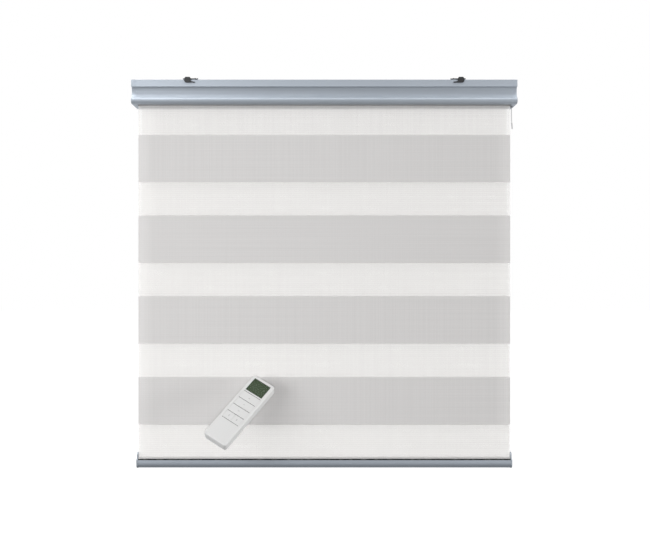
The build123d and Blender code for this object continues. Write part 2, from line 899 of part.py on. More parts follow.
def circuit_bottom():
    """Height of the circuit board's underside."""
    return remote_thickness / 2 - circuit_drop - circuit_thickness


def remote_rear_shell():
    """Rear shell with the posts, the battery bay and the door's slot."""
    shell = remote_half(-remote_thickness / 2, remote_split - seat_gap)
    floor = remote_wall - remote_thickness / 2
    low, high = cell_bay()
    across = aaa_spacing / 2 + aaa_radius + bay_side
    frame = across + bay_frame_margin
    bottom = low - bay_frame_margin
    frame_top = high + door_overlap + bay_end_wall
    shell += block(-frame, frame, bottom, frame_top, floor, floor + bay_floor)
    shell -= block(-across, across, low, high, floor, floor + bay_floor)
    bay_top = circuit_bottom() - small_gap
    for end in (low - bay_end_wall, high):
        shell += block(-across, across, end, end + bay_end_wall, floor, bay_top)
    post_x = circuit_width / 2 - post_inset
    post_y = circuit_length / 2 - post_inset
    for x in (-post_x, post_x):
        for y in (-post_y, post_y):
            shell += post(post_radius, floor - post_root, bay_top, x, y)
    return shell - door_slot(0.0)


def remote_window():
    """Clear window with its flange behind the face."""
    face = remote_thickness / 2
    inner = face - remote_wall - seat_gap
    across = window_width / 2 - door_gap
    along = window_length / 2 - door_gap
    middle = window_y()
    low = inner - window_flange_thickness
    pane = block(-across, across, middle - along, middle + along, low, face - small_gap)
    across += window_flange
    along += window_flange
    flange = block(-across, across, middle - along, middle + along, low, inner)
    return pane + flange


def remote_display():
    """Liquid crystal panel on the board, under the window."""
    low = circuit_bottom() + circuit_thickness
    across = window_width / 2
    along = window_length / 2
    middle = window_y()
    return block(-across, across, middle - along, middle + along, low, low + display_thickness)


def remote_board():
    """Circuit board on the posts."""
    low = circuit_bottom()
    half = circuit_width / 2
    along = circuit_length / 2
    return block(-half, half, -along, along, low, low + circuit_thickness)


def key_middle(row):
    """Middle of a row of keys, counted from the display down."""
    top = key_field()[1] - key_line / 2
    return top - (row + 0.5) * key_pitch


def remote_key(row, x_low, x_high, open_left, open_right):
    """One flush key with the flanges that keep it under the face."""
    face = remote_thickness / 2 - key_recess
    along = (key_pitch - key_line) / 2
    middle = key_middle(row)
    low = face - key_thickness
    key = block(x_low, x_high, middle - along, middle + along, low, face)
    flange_low = x_low - key_flange * open_left
    flange_high = x_high + key_flange * open_right
    return key + block(flange_low, flange_high, middle - along, middle + along, low, low + key_flange_thickness)


def remote_switches():
    """Dome switches under the keys."""
    low = circuit_bottom() + circuit_thickness
    places = [(0.0, key_middle(row)) for row in range(key_rows - 1)]
    places += [(side * key_width / 4, key_middle(key_rows - 1)) for side in (-1, 1)]
    domes = [post(switch_radius, low, low + switch_height, x, y) for x, y in places]
    return Compound(children=domes)


def cell_z():
    """Height of the battery cells' axes."""
    return remote_wall - remote_thickness / 2 + aaa_radius + small_gap / 2


def remote_cells():
    """Two cells side by side."""
    cells = []
    for x in (-aaa_spacing / 2, aaa_spacing / 2):
        base = Plane(origin=(x, aaa_y - aaa_length / 2, cell_z()), z_dir=(0, 1, 0))
        cells.append(extrude(base * Circle(aaa_radius), aaa_length))
    return Compound(children=cells)


def remote_contacts():
    """Contact plates with a raised button for each cell."""
    contacts = []
    low, high = cell_bay()
    across = aaa_radius - small_gap
    for x in (-aaa_spacing / 2, aaa_spacing / 2):
        for end, side in ((low, 1), (high, -1)):
            ends = sorted((end, end + side * contact_thickness))
            plate = block(x - across, x + across, *ends, cell_z() - across, cell_z() + across)
            base = Plane(origin=(x, end + side * contact_thickness, cell_z()), z_dir=(0, side, 0))
            contacts.append(plate + extrude(base * Circle(contact_button_radius), contact_gap - small_gap))
    return Compound(children=contacts)


def remote_battery_door():
    """Door that slides off the bottom end of the rear shell."""
    return door_slot(door_gap) & remote_body(0.0, remote_edge)


def save_cassette():
    """Headrail, fascia, caps and brackets."""
    save(headrail_profile(), "headrail_profile")
    save(front_fascia(), "front_fascia")
    save(end_cap_left(), "end_cap_left")
    save(end_cap_right(), "end_cap_right")
    save(end_cap_screws(), "end_cap_screws")
    plate = bracket_plate_left()
    latch = bracket_latch_left()
    save(plate, "bracket_plate_left")
    save(other_side(plate), "bracket_plate_right")
    save(latch, "bracket_latch_left")
    save(other_side(latch), "bracket_latch_right")
    save(bracket_rivets(), "bracket_rivets")


def save_roller():
    """Tube, fabric turns, idler end and motor."""
    save(roller_tube(), "roller_tube")
    save(roller_insert_strip(), "roller_insert_strip")
    save(fabric_roll(), "fabric_roll")
    save(idler_pin(), "idler_pin")
    save(idler_plug(), "idler_plug")
    save(motor_housing(), "motor_housing")
    save(motor_head(), "motor_head")
    save(programming_button(), "programming_button")
    save(drive_crown(), "drive_crown")
    save(drive_wheel(), "drive_wheel")
    save(output_shaft(), "output_shaft")
    save(gearbox_case(), "gearbox_case")
    save(dc_motor(), "dc_motor")
    save(control_board(), "control_board")
    save(battery_cells(), "battery_cells")
    save(antenna_wire(), "antenna_wire")
    save(antenna_tip(), "antenna_tip")
    save(wire_grommet(), "wire_grommet")


def save_curtain():
    """Fabric layers and bottom bar."""
    save(fabric_front(), "fabric_front")
    save(fabric_rear(), "fabric_rear")
    save(fabric_turn(), "fabric_turn")
    save(rear_insert_strip(), "rear_insert_strip")
    save(bottom_bar_profile(), "bottom_bar_profile")
    cap = bottom_bar_cap_left()
    save(cap, "bottom_bar_cap_left")
    save(other_side(cap), "bottom_bar_cap_right")
    save(bottom_roller(), "bottom_roller")
    save(bottom_roller_pins(), "bottom_roller_pins")


def save_remote():
    """The remote control's pieces, at its place in front of the blind."""
    half = key_width / 2
    middle = pair_gap / 2
    pieces = {
        "remote_front_shell": remote_front_shell(),
        "remote_rear_shell": remote_rear_shell(),
        "remote_window": remote_window(),
        "remote_display": remote_display(),
        "remote_board": remote_board(),
        "remote_switches": remote_switches(),
        "remote_key_up": remote_key(0, -half, half, 1, 1),
        "remote_key_stop": remote_key(1, -half, half, 1, 1),
        "remote_key_down": remote_key(2, -half, half, 1, 1),
        "remote_key_previous": remote_key(3, -half, -middle, 1, 0),
        "remote_key_next": remote_key(3, middle, half, 0, 1),
        "remote_cells": remote_cells(),
        "remote_contacts": remote_contacts(),
        "remote_battery_door": remote_battery_door(),
    }
    for node, piece in pieces.items():
        save(remote_place * piece, node)


os.makedirs("parts", exist_ok=True)
save_cassette()
save_roller()
save_curtain()
save_remote()
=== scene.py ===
import json
import logging
import math
from dataclasses import dataclass
from enum import Enum
from typing import Any, Callable, Optional, Union

import bmesh
import bpy
from mathutils import Matrix, Vector


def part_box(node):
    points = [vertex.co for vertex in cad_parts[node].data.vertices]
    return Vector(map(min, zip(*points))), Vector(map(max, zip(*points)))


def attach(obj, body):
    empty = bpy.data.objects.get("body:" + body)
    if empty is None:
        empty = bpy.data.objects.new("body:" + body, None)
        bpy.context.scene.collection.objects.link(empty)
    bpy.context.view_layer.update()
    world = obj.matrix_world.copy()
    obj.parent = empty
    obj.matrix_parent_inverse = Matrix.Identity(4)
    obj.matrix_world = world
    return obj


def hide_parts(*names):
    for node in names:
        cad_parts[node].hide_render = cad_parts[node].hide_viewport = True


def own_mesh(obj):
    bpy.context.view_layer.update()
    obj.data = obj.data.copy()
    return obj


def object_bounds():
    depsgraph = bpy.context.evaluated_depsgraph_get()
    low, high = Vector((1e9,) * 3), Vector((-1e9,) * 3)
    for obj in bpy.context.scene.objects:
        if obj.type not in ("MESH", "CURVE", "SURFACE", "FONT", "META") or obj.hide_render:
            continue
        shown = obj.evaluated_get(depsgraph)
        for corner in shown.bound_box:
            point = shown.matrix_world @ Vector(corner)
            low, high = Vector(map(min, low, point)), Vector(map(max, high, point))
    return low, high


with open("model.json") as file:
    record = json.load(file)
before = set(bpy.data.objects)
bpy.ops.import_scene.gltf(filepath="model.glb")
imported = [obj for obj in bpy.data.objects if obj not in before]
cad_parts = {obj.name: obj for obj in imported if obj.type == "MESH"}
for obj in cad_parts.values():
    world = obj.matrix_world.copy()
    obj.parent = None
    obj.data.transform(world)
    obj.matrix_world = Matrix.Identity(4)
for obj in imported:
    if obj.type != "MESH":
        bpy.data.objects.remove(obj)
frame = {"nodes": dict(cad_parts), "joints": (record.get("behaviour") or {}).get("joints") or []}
cad_low, cad_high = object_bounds()

# Motorized day and night blind, in metres. X runs to the right, Y back to the wall, Z up.

Place = tuple[float, float, float]
Colour = tuple[float, float, float]
Opaque = tuple[float, float, float, float]
Span = tuple[float, float]
Names = tuple[str, ...]
Socket = bpy.types.NodeSocket
Outputs = bpy.types.NodeOutputs
Tree = bpy.types.NodeTree
Piece = bpy.types.Object
Value = Union[float, tuple, Socket]
Inputs = dict[Union[str, int], Value]
Test = Callable[[Vector, Vector], bool]

MM = 0.001
UNSCALED = (1.0, 1.0, 1.0)
UPRIGHT = (math.pi / 2, 0.0, 0.0)
UPSIDE_DOWN = (math.pi, 0.0, 0.0)
SHARP_EDGE = math.radians(40.0)
EDGE_STEPS = 3
CAD_SHARP_EDGE = math.radians(35.0)
CAD_EDGE_STEPS = 2
CAD_FLAT_EDGE = math.radians(1.0)
CAD_WELD = 0.001 * MM
log = logging.getLogger("blind")


class Kind(Enum):
    """What part of a mesh is picked."""

    CORNER = "VERT"
    EDGE = "EDGE"
    FACE = "FACE"


class Effect(Enum):
    """The surface effects that several finishes share."""

    GRAIN = "fine_grain"
    DRIFT = "colour_drift"
    LINES = "extrusion_lines"
    WEAVE = "thread_weave"
    WEAR = "edge_wear"
    DUST = "settled_dust"


class Symbol(Enum):
    """The mark on a key, as the angle that its arrow is turned by, or none for the bar."""

    UP = 0.0
    DOWN = 180.0
    PREVIOUS = 90.0
    NEXT = -90.0
    STOP = None


def grey(tone: float) -> Opaque:
    """A grey with its alpha."""
    return (tone, tone, tone, 1.0)


PALE_DUST = (0.62, 0.61, 0.58, 1.0)
DARK_DUST = (0.35, 0.34, 0.32, 1.0)
BARE_STEEL = (0.38, 0.38, 0.39, 1.0)
SOLDER = (0.6, 0.6, 0.58, 1.0)
RUBBER_BLOOM = grey(0.35)


class Graph:
    """Adds and links the nodes of one material or node group."""

    def __init__(self, tree: Tree) -> None:
        """Start with an empty tree."""
        self.tree = tree
        self.tree.nodes.clear()

    def node(self, kind: str, inputs: Optional[Inputs] = None, **settings: Any) -> bpy.types.Node:
        """Add a node and fill its inputs.

        Args:
            kind: The node's type, without its ShaderNode prefix, or a group node's type.
            inputs: Constants or sockets, by input name or number.
            settings: The node's own properties.

        Returns:
            The new node.
        """
        prefix = "" if kind.startswith("NodeGroup") else "ShaderNode"
        made = self.tree.nodes.new(prefix + kind)
        for name, value in settings.items():
            setattr(made, name, value)
        self.feed(made, inputs or {})
        return made

    def feed(self, node: bpy.types.Node, inputs: Inputs) -> None:
        """Fill a node's inputs.

        Args:
            node: The node.
            inputs: Constants or sockets, by input name or number.
        """
        for name, value in inputs.items():
            if isinstance(value, Socket):
                self.tree.links.new(value, node.inputs[name])
            else:
                node.inputs[name].default_value = value

    def math(self, operation: str, *values: Value) -> Socket:
        """The result of a Math node, given its inputs in order."""
        return self.node("Math", dict(enumerate(values)), operation=operation).outputs[0]

    def times(self, first: Value, second: Value) -> Socket:
        """One value times another."""
        return self.math("MULTIPLY", first, second)

    def plus(self, value: Value, gain: Value, base: Value) -> Socket:
        """A value times a gain, plus a base."""
        return self.math("MULTIPLY_ADD", value, gain, base)

    def scaled(self, colour: Value, gain: Socket) -> Socket:
        """A colour times a gain."""
        return self.node("VectorMath", {0: colour, "Scale": gain}, operation="SCALE").outputs[0]

    def mix(self, share: Value, first: Value, second: Value) -> Socket:
        """A mix of two colours, with a share of the second."""
        return self.node("Mix", {0: share, 6: first, 7: second}, data_type="RGBA").outputs[2]

    def ramp(self, value: Socket, low: Value, high: Value, bottom: float = 0.0, top: float = 1.0) -> Socket:
        """A ramp from bottom to top as a value goes from low to high, and held beyond."""
        return self.node("MapRange", {0: value, 1: low, 2: high, 3: bottom, 4: top}).outputs[0]

    def place(self) -> Socket:
        """Where a point lies on its piece."""
        return self.node("TexCoord").outputs["Object"]

    def split(self, vector: Socket) -> Outputs:
        """The three numbers of a vector."""
        return self.node("SeparateXYZ", {0: vector}).outputs

    def noise(self, vector: Socket, scale: Value, detail: float = 2.0) -> Socket:
        """Soft noise from 0 to 1, read at a vector, with a number of finer layers."""
        return self.node("TexNoise", {"Vector": vector, "Scale": scale, "Detail": detail}).outputs[0]

    def relief(self, place: Socket, scale: Socket, broad: float) -> Inputs:
        """Fine noise as a height, with patches of the same noise at a share of its scale."""
        patches = self.noise(place, self.times(scale, broad))
        return {"Height": self.noise(place, scale), "Patches": patches}

    def effect(self, effect: Effect, **inputs: Value) -> Outputs:
        """The results of a shared effect, given its inputs by name."""
        return self.node("Group", inputs, node_tree=EFFECTS.group(effect)).outputs


class Effects:
    """The shader node groups that finishes share, each built once by the method of its name."""

    colour_sockets: Names = ("Tint", "Colour")
    grain_patches: float = 0.05
    line_patches: float = 0.2
    slub_stretch: float = 0.35
    slub_scale: float = 1.6
    hole_edge: float = 8.0
    # Painted light: how far from a layer's middle the lighter strip along its side edges starts and is full.
    side_strip: Span = (0.46, 0.49)
    wear_scale: float = 400.0
    wear_break: float = 0.03
    dust_slope: Span = (0.6, 1.0)
    dust_scale: float = 60.0
    dust_detail: float = 5.0
    dust_cloud: Span = (0.35, 0.7)

    def __init__(self) -> None:
        """Start with no group built."""
        self.made: dict[Effect, Tree] = {}

    def group(self, effect: Effect) -> Tree:
        """Build the group at its first use.

        Args:
            effect: Which effect is asked for.

        Returns:
            Its node tree.
        """
        if effect not in self.made:
            getattr(self, effect.name.lower())()
        return self.made[effect]

    def blank(self, effect: Effect, given: Names, results: Names) -> tuple[Graph, Outputs, bpy.types.Node]:
        """Make an empty group with its sockets.

        Args:
            effect: Which effect it is for.
            given: Names of its inputs.
            results: Names of its outputs.

        Returns:
            The graph, what the group is given and the node that takes its results.
        """
        tree = bpy.data.node_groups.new(effect.value, "ShaderNodeTree")
        self.made[effect] = tree
        for way, labels in (("INPUT", given), ("OUTPUT", results)):
            for label in labels:
                kind = "NodeSocketColor" if label in self.colour_sockets else "NodeSocketFloat"
                tree.interface.new_socket(label, in_out=way, socket_type=kind)
        graph = Graph(tree)
        return graph, graph.node("NodeGroupInput").outputs, graph.node("NodeGroupOutput")

    def grain(self) -> None:
        """Fine grain on a moulded or coated surface, with broad patches."""
        graph, given, end = self.blank(Effect.GRAIN, ("Scale",), ("Height", "Patches"))
        graph.feed(end, graph.relief(graph.place(), given["Scale"], self.grain_patches))

    def drift(self) -> None:
        """A colour that drifts a little lighter and darker across a piece."""
        graph, given, end = self.blank(Effect.DRIFT, ("Tint", "Amount", "Scale"), ("Colour",))
        cloud = graph.math("SUBTRACT", graph.noise(graph.place(), given["Scale"]), 0.5)
        gain = graph.plus(cloud, given["Amount"], 1.0)
        graph.feed(end, {"Colour": graph.scaled(given["Tint"], gain)})

    def lines(self) -> None:
        """Faint lines that an extrusion die leaves along X."""
        graph, given, end = self.blank(Effect.LINES, ("Scale", "Length"), ("Height", "Patches"))
        split = graph.split(graph.place())
        along = graph.times(split[0], given["Length"])
        place = graph.node("CombineXYZ", {0: along, 1: split[1], 2: split[2]}).outputs[0]
        graph.feed(end, graph.relief(place, given["Scale"], self.line_patches))

    def weave(self) -> None:
        """Crossing threads counted over the piece's own map, with uneven yarn and painted light along both
        side edges.
        """
        graph, given, end = self.blank(
            Effect.WEAVE, ("Across", "Along", "Opening", "Ribs"), ("Height", "Gap", "Uneven", "Side", "Rib")
        )
        split = graph.split(graph.node("UVMap").outputs[0])
        ridges = []
        counts = []
        slubs = []
        holes = []
        for axis, other, label in ((0, 1, "Across"), (1, 0, "Along")):
            count = graph.times(split[axis], given[label])
            ridges.append(graph.math("ABSOLUTE", graph.math("SINE", graph.times(count, math.pi))))
            counts.append(graph.math("FLOOR", count))
            stretched = graph.times(count, self.slub_stretch)
            place = graph.node("CombineXYZ", {0: stretched, 1: split[other]}).outputs[0]
            slubs.append(graph.noise(place, self.slub_scale))
            holes.append(graph.times(graph.math("SUBTRACT", given["Opening"], ridges[-1]), self.hole_edge))
            holes[-1].node.use_clamp = True
        odd = graph.math("MODULO", graph.math("ADD", *counts), 2.0)
        over = graph.times(ridges[0], odd)
        under = graph.times(ridges[1], graph.math("SUBTRACT", 1.0, odd))
        # Painted light: a lighter strip at both side edges of the layer, standing in for light that reaches
        # round them.
        off = graph.math("ABSOLUTE", graph.math("SUBTRACT", split[0], 0.5))
        turn = graph.times(graph.times(split[1], given["Ribs"]), math.tau)
        graph.feed(end, {
            "Height": graph.math("ADD", over, under),
            "Gap": graph.times(*holes),
            "Uneven": graph.times(graph.math("ADD", *slubs), 0.5),
            "Rib": graph.math("SINE", turn),
            "Side": graph.ramp(off, *self.side_strip),
        })

    def wear(self) -> None:
        """Outer edges that handling has rubbed."""
        graph, given, end = self.blank(Effect.WEAR, ("Start", "End"), ("Mask",))
        edge = graph.node("NewGeometry").outputs["Pointiness"]
        broken = graph.plus(graph.noise(graph.place(), self.wear_scale), self.wear_break, edge)
        graph.feed(end, {"Mask": graph.ramp(broken, given["Start"], given["End"])})

    def dust(self) -> None:
        """Thin dust on what faces up."""
        graph, given, end = self.blank(Effect.DUST, ("Amount",), ("Mask",))
        split = graph.split(graph.node("NewGeometry").outputs["True Normal"])
        level = graph.ramp(split[2], *self.dust_slope)
        cloud = graph.noise(graph.place(), self.dust_scale, self.dust_detail)
        settled = graph.times(level, graph.ramp(cloud, *self.dust_cloud))
        graph.feed(end, {"Mask": graph.times(settled, given["Amount"])})


EFFECTS = Effects()


@dataclass(frozen=True)
class Finish:
    """What every finish has: its colour, its roughness, and how they and its relief vary."""

    name: str
    colour: Colour
    roughness: float
    spread: float = 0.12
    drift: float = 0.04
    drift_scale: float = 25.0
    wear: Span = (0.55, 0.75)
    rubbed: float = 0.35
    relief: float = 0.15
    depth: float = 0.03 * MM

    def tint(self, gain: float = 1.0, lift: float = 0.0) -> Opaque:
        """The colour with its alpha, brightened by a gain and a lift."""
        return (*(min(1.0, part * gain + lift) for part in self.colour), 1.0)

    def drifted(self, graph: Graph) -> Socket:
        """The colour as it drifts over a piece."""
        drifting = graph.effect(Effect.DRIFT, Tint=self.tint(), Amount=self.drift, Scale=self.drift_scale)
        return drifting["Colour"]

    def worn(self, graph: Graph) -> Socket:
        """How far the edges are rubbed through."""
        mask = graph.effect(Effect.WEAR, Start=self.wear[0], End=self.wear[1])["Mask"]
        return graph.times(mask, self.rubbed)

    def patchy(self, graph: Graph, patches: Socket) -> Socket:
        """The roughness as it varies with patches."""
        return graph.plus(patches, self.spread, self.roughness - self.spread / 2)

    def bump(self, graph: Graph, height: Socket) -> Socket:
        """The normal over a relief."""
        inputs = {"Height": height, "Strength": self.relief, "Distance": self.depth}
        return graph.node("Bump", inputs).outputs[0]

    def build(self) -> bpy.types.Material:
        """Make the material.

        Returns:
            The finished material.
        """
        made = bpy.data.materials.new(self.name)
        made.use_nodes = True
        graph = Graph(made.node_tree)
        shader = graph.node("BsdfPrincipled", {"Base Color": self.tint(), "Roughness": self.roughness})
        graph.feed(shader, self.dress(graph))
        graph.node("OutputMaterial", {"Surface": self.surface(graph, shader.outputs[0])})
        return made

    def dress(self, graph: Graph) -> Inputs:
        """The shader's inputs, with what varies over the surface."""
        raise NotImplementedError

    def surface(self, graph: Graph, shaded: Socket) -> Socket:
        """What rays meet, which is the shaded surface itself."""
        return shaded


@dataclass(frozen=True)
class AnodisedAluminium(Finish):
    """Satin anodised aluminium with die lines."""

    spread: float = 0.06
    drift: float = 0.05
    drift_scale: float = 7.0
    wear: Span = (0.56, 0.75)
    rubbed: float = 0.5
    relief: float = 0.12
    depth: float = 0.01 * MM
    line_scale: float = 2600.0
    line_length: float = 0.004
    grain_scale: float = 3500.0
    grain_share: float = 0.5
    rubbed_gain: float = 1.25
    dust: float = 0.25
    dulling: float = 0.4

    def dress(self, graph: Graph) -> Inputs:
        """Add die lines, patches, rubbed edges and dust.

        Args:
            graph: The material's nodes.

        Returns:
            The shader's inputs.
        """
        lines = graph.effect(Effect.LINES, Scale=self.line_scale, Length=self.line_length)
        grain = graph.effect(Effect.GRAIN, Scale=self.grain_scale)
        tint = graph.mix(self.worn(graph), self.drifted(graph), self.tint(self.rubbed_gain))
        dust = graph.effect(Effect.DUST, Amount=self.dust)["Mask"]
        height = graph.math("ADD", lines["Height"], graph.times(grain["Height"], self.grain_share))
        return {
            "Metallic": 1.0,
            "Base Color": graph.mix(dust, tint, PALE_DUST),
            "Roughness": graph.plus(dust, self.dulling, self.patchy(graph, lines["Patches"])),
            "Normal": self.bump(graph, height),
        }


@dataclass(frozen=True)
class MouldedPlastic(Finish):
    """Moulded plastic with a fine spark-eroded grain."""

    grain_scale: float = 1800.0
    rubbed_gain: float = 0.9
    rubbed_lift: float = 0.08

    def dress(self, graph: Graph) -> Inputs:
        """Add grain, a slight drift of colour and handled edges.

        Args:
            graph: The material's nodes.

        Returns:
            The shader's inputs.
        """
        grain = graph.effect(Effect.GRAIN, Scale=self.grain_scale)
        pale = self.tint(self.rubbed_gain, self.rubbed_lift)
        return {
            "Base Color": graph.mix(self.worn(graph), self.drifted(graph), pale),
            "Roughness": self.patchy(graph, grain["Patches"]),
            "Normal": self.bump(graph, grain["Height"]),
        }


@dataclass(frozen=True)
class PowderCoat(Finish):
    """Coated steel sheet, orange-peeled, rubbed to the metal at its edges."""

    spread: float = 0.15
    wear: Span = (0.6, 0.8)
    rubbed: float = 0.4
    relief: float = 0.35
    depth: float = 0.05 * MM
    grain_scale: float = 700.0
    coat: float = 0.1
    coat_roughness: float = 0.4
    dust: float = 0.08

    def dress(self, graph: Graph) -> Inputs:
        """Add the orange peel, the rubbed edges and dust.

        Args:
            graph: The material's nodes.

        Returns:
            The shader's inputs.
        """
        grain = graph.effect(Effect.GRAIN, Scale=self.grain_scale)
        metal = self.worn(graph)
        dust = graph.effect(Effect.DUST, Amount=self.dust)["Mask"]
        return {
            "Coat Weight": self.coat,
            "Coat Roughness": self.coat_roughness,
            "Base Color": graph.mix(dust, graph.mix(metal, self.tint(), BARE_STEEL), DARK_DUST),
            "Metallic": metal,
            "Roughness": self.patchy(graph, grain["Patches"]),
            "Normal": self.bump(graph, grain["Height"]),
        }


@dataclass(frozen=True)
class PlatedSteel(Finish):
    """Turned or plated steel with fine scratches."""

    spread: float = 0.16
    drift: float = 0.12
    drift_scale: float = 60.0
    depth: float = 0.01 * MM
    scratch_scale: float = 1800.0
    scratch_length: float = 0.05

    def dress(self, graph: Graph) -> Inputs:
        """Add scratches and patches of dullness.

        Args:
            graph: The material's nodes.

        Returns:
            The shader's inputs.
        """
        scratches = graph.effect(Effect.LINES, Scale=self.scratch_scale, Length=self.scratch_length)
        return {
            "Metallic": 1.0,
            "Base Color": self.drifted(graph),
            "Roughness": self.patchy(graph, scratches["Patches"]),
            "Normal": self.bump(graph, scratches["Height"]),
        }


@dataclass(frozen=True)
class Rubber(Finish):
    """Matt rubber."""

    relief: float = 0.3
    depth: float = 0.04 * MM
    grain_scale: float = 2200.0
    gloss: float = 0.3
    bloom: float = 0.25
    bloom_patches: Span = (0.45, 0.75)

    def dress(self, graph: Graph) -> Inputs:
        """Add pores and a pale bloom.

        Args:
            graph: The material's nodes.

        Returns:
            The shader's inputs.
        """
        grain = graph.effect(Effect.GRAIN, Scale=self.grain_scale)
        bloom = graph.ramp(grain["Patches"], *self.bloom_patches, 0.0, self.bloom)
        return {
            "Specular IOR Level": self.gloss,
            "Base Color": graph.mix(bloom, self.tint(), RUBBER_BLOOM),
            "Normal": self.bump(graph, grain["Height"]),
        }


@dataclass(frozen=True)
class ClearPlastic(Finish):
    """Clear window that lets shadows through."""

    bending: float = 1.12
    gloss: float = 0.2
    smear_scale: float = 400.0
    smear_patches: Span = (0.3, 0.8)
    smear_roughness: Span = (0.02, 0.07)

    def dress(self, graph: Graph) -> Inputs:
        """Add faint smears.

        Args:
            graph: The material's nodes.

        Returns:
            The shader's inputs.
        """
        smears = graph.effect(Effect.GRAIN, Scale=self.smear_scale)["Patches"]
        return {
            "Transmission Weight": 1.0,
            "IOR": self.bending,
            "Specular IOR Level": self.gloss,
            "Roughness": graph.ramp(smears, *self.smear_patches, *self.smear_roughness),
        }

    def surface(self, graph: Graph, shaded: Socket) -> Socket:
        """Let the light through to what lies behind.

        Args:
            graph: The material's nodes.
            shaded: The window as it is seen.

        Returns:
            The window, clear to the rays that light what lies behind it.
        """
        path = graph.node("LightPath").outputs
        lighting = graph.math("MAXIMUM", path["Is Shadow Ray"], path["Is Diffuse Ray"])
        clear = graph.node("BsdfTransparent").outputs[0]
        return graph.node("MixShader", {0: lighting, 1: shaded, 2: clear}).outputs[0]


@dataclass(frozen=True)
class LiquidCrystal(Finish):
    """Unlit display: grey-green glass over a faint grid."""

    drift: float = 0.25
    drift_scale: float = 22.0
    gloss: float = 0.1
    dot_scale: float = 2500.0
    dot_edge: Span = (0.02, 0.06)
    line_share: float = 0.5
    line_gain: float = 0.82

    def dress(self, graph: Graph) -> Inputs:
        """Add the grid and a slow change of tone.

        Args:
            graph: The material's nodes.

        Returns:
            The shader's inputs.
        """
        where = {"Vector": graph.place(), "Scale": self.dot_scale}
        dots = graph.node("TexVoronoi", where, feature="DISTANCE_TO_EDGE").outputs[0]
        line = graph.ramp(dots, *self.dot_edge, self.line_share, 0.0)
        return {
            "Specular IOR Level": self.gloss,
            "Base Color": graph.mix(line, self.drifted(graph), self.tint(self.line_gain)),
        }


@dataclass(frozen=True)
class CircuitBoard(Finish):
    """Green board with copper tracks under the resist."""

    relief: float = 0.3
    coat: float = 0.3
    cell_scale: float = 260.0
    track_edge: Span = (0.42, 0.46)
    track_gain: float = 1.7
    land_edge: Span = (0.1, 0.07)

    def dress(self, graph: Graph) -> Inputs:
        """Add tracks and solder lands.

        Args:
            graph: The material's nodes.

        Returns:
            The shader's inputs.
        """
        where = {"Vector": graph.place(), "Scale": self.cell_scale}
        cells = graph.node("TexVoronoi", where, distance="MANHATTAN").outputs[0]
        tracks = graph.ramp(cells, *self.track_edge)
        lands = graph.ramp(cells, *self.land_edge)
        tint = graph.mix(tracks, self.tint(), self.tint(self.track_gain))
        return {
            "Coat Weight": self.coat,
            "Base Color": graph.mix(lands, tint, SOLDER),
            "Metallic": lands,
            "Normal": self.bump(graph, tracks),
        }


@dataclass(frozen=True)
class Cloth(Finish):
    """Woven polyester counted in threads over the piece's map."""

    relief: float = 0.3
    depth: float = 0.06 * MM
    threads: Span = (900.0, 900.0)
    opening: float = 0.25
    thread_alpha: float = 1.0
    gap_alpha: float = 0.9
    slubs: Span = (0.35, 0.65)
    uneven: float = 0.05
    # How much lighter the painted light makes the side edges.
    side_lift: float = 0.09
    ribs: float = 180.0
    rib_tone: float = 0.006
    light_through: float = 0.0
    sheen: float = 0.12
    sheen_roughness: float = 0.5
    gloss: float = 0.25

    def dress(self, graph: Graph) -> Inputs:
        """Add threads, uneven yarn, gaps, a soft sheen, painted light along the side edges and the light
        that the cloth lets through.

        Args:
            graph: The material's nodes.

        Returns:
            The shader's inputs.
        """
        weave = graph.effect(
            Effect.WEAVE, Across=self.threads[0], Along=self.threads[1], Opening=self.opening, Ribs=self.ribs
        )
        yarn = graph.ramp(weave["Uneven"], *self.slubs, 1.0 - self.uneven, 1.0 + self.uneven / 2)
        # Painted light: the side edges are made lighter.
        lifted = graph.plus(weave["Side"], self.side_lift, yarn)
        gain = graph.plus(weave["Rib"], self.rib_tone, lifted)
        alpha = graph.ramp(weave["Gap"], 0.0, 1.0, self.thread_alpha, self.gap_alpha)
        shading = graph.node("LightPath").outputs["Is Shadow Ray"]
        held = graph.plus(shading, -self.light_through, 1.0)
        return {
            "Sheen Weight": self.sheen,
            "Sheen Roughness": self.sheen_roughness,
            "Specular IOR Level": self.gloss,
            "Base Color": graph.scaled(self.colour, gain),
            "Alpha": graph.times(alpha, held),
            "Normal": self.bump(graph, weave["Height"]),
        }


SATIN_SILVER = AnodisedAluminium("satin_silver", (0.36, 0.395, 0.44), 0.56, dust=0.1)
DRAWN_TUBE = AnodisedAluminium("drawn_tube", (0.6, 0.61, 0.62), 0.3, line_scale=1800.0)
CAP_SILVER = AnodisedAluminium("cap_silver", (0.35, 0.385, 0.43), 0.56, line_scale=900.0, dust=0.1)
BLACK_COAT = PowderCoat("black_coat", (0.012, 0.013, 0.015), 0.455)
BRIGHT_ZINC = PlatedSteel("bright_zinc", (0.6, 0.6, 0.58), 0.28)
ROLLED_STEEL = PlatedSteel("rolled_steel", (0.42, 0.42, 0.43), 0.38)
WHITE_STRIP = MouldedPlastic("white_strip", (0.72, 0.72, 0.7), 0.45)
MOTOR_WHITE = MouldedPlastic("motor_white", (0.74, 0.74, 0.73), 0.4)
BLACK_PLASTIC = MouldedPlastic("black_moulding", (0.02, 0.02, 0.021), 0.42)
ORANGE_PLASTIC = MouldedPlastic("orange_moulding", (0.75, 0.2, 0.03), 0.35)
GREEN_BOARD = CircuitBoard("green_board", (0.02, 0.16, 0.07), 0.4)
CELL_WRAP = MouldedPlastic("cell_wrap", (0.03, 0.16, 0.3), 0.3, relief=0.05)
LEAD_GREY = MouldedPlastic("lead_sheath", (0.5, 0.51, 0.52), 0.5, grain_scale=4000.0)
GREY_RUBBER = Rubber("grey_rubber", (0.3, 0.31, 0.32), 0.7)
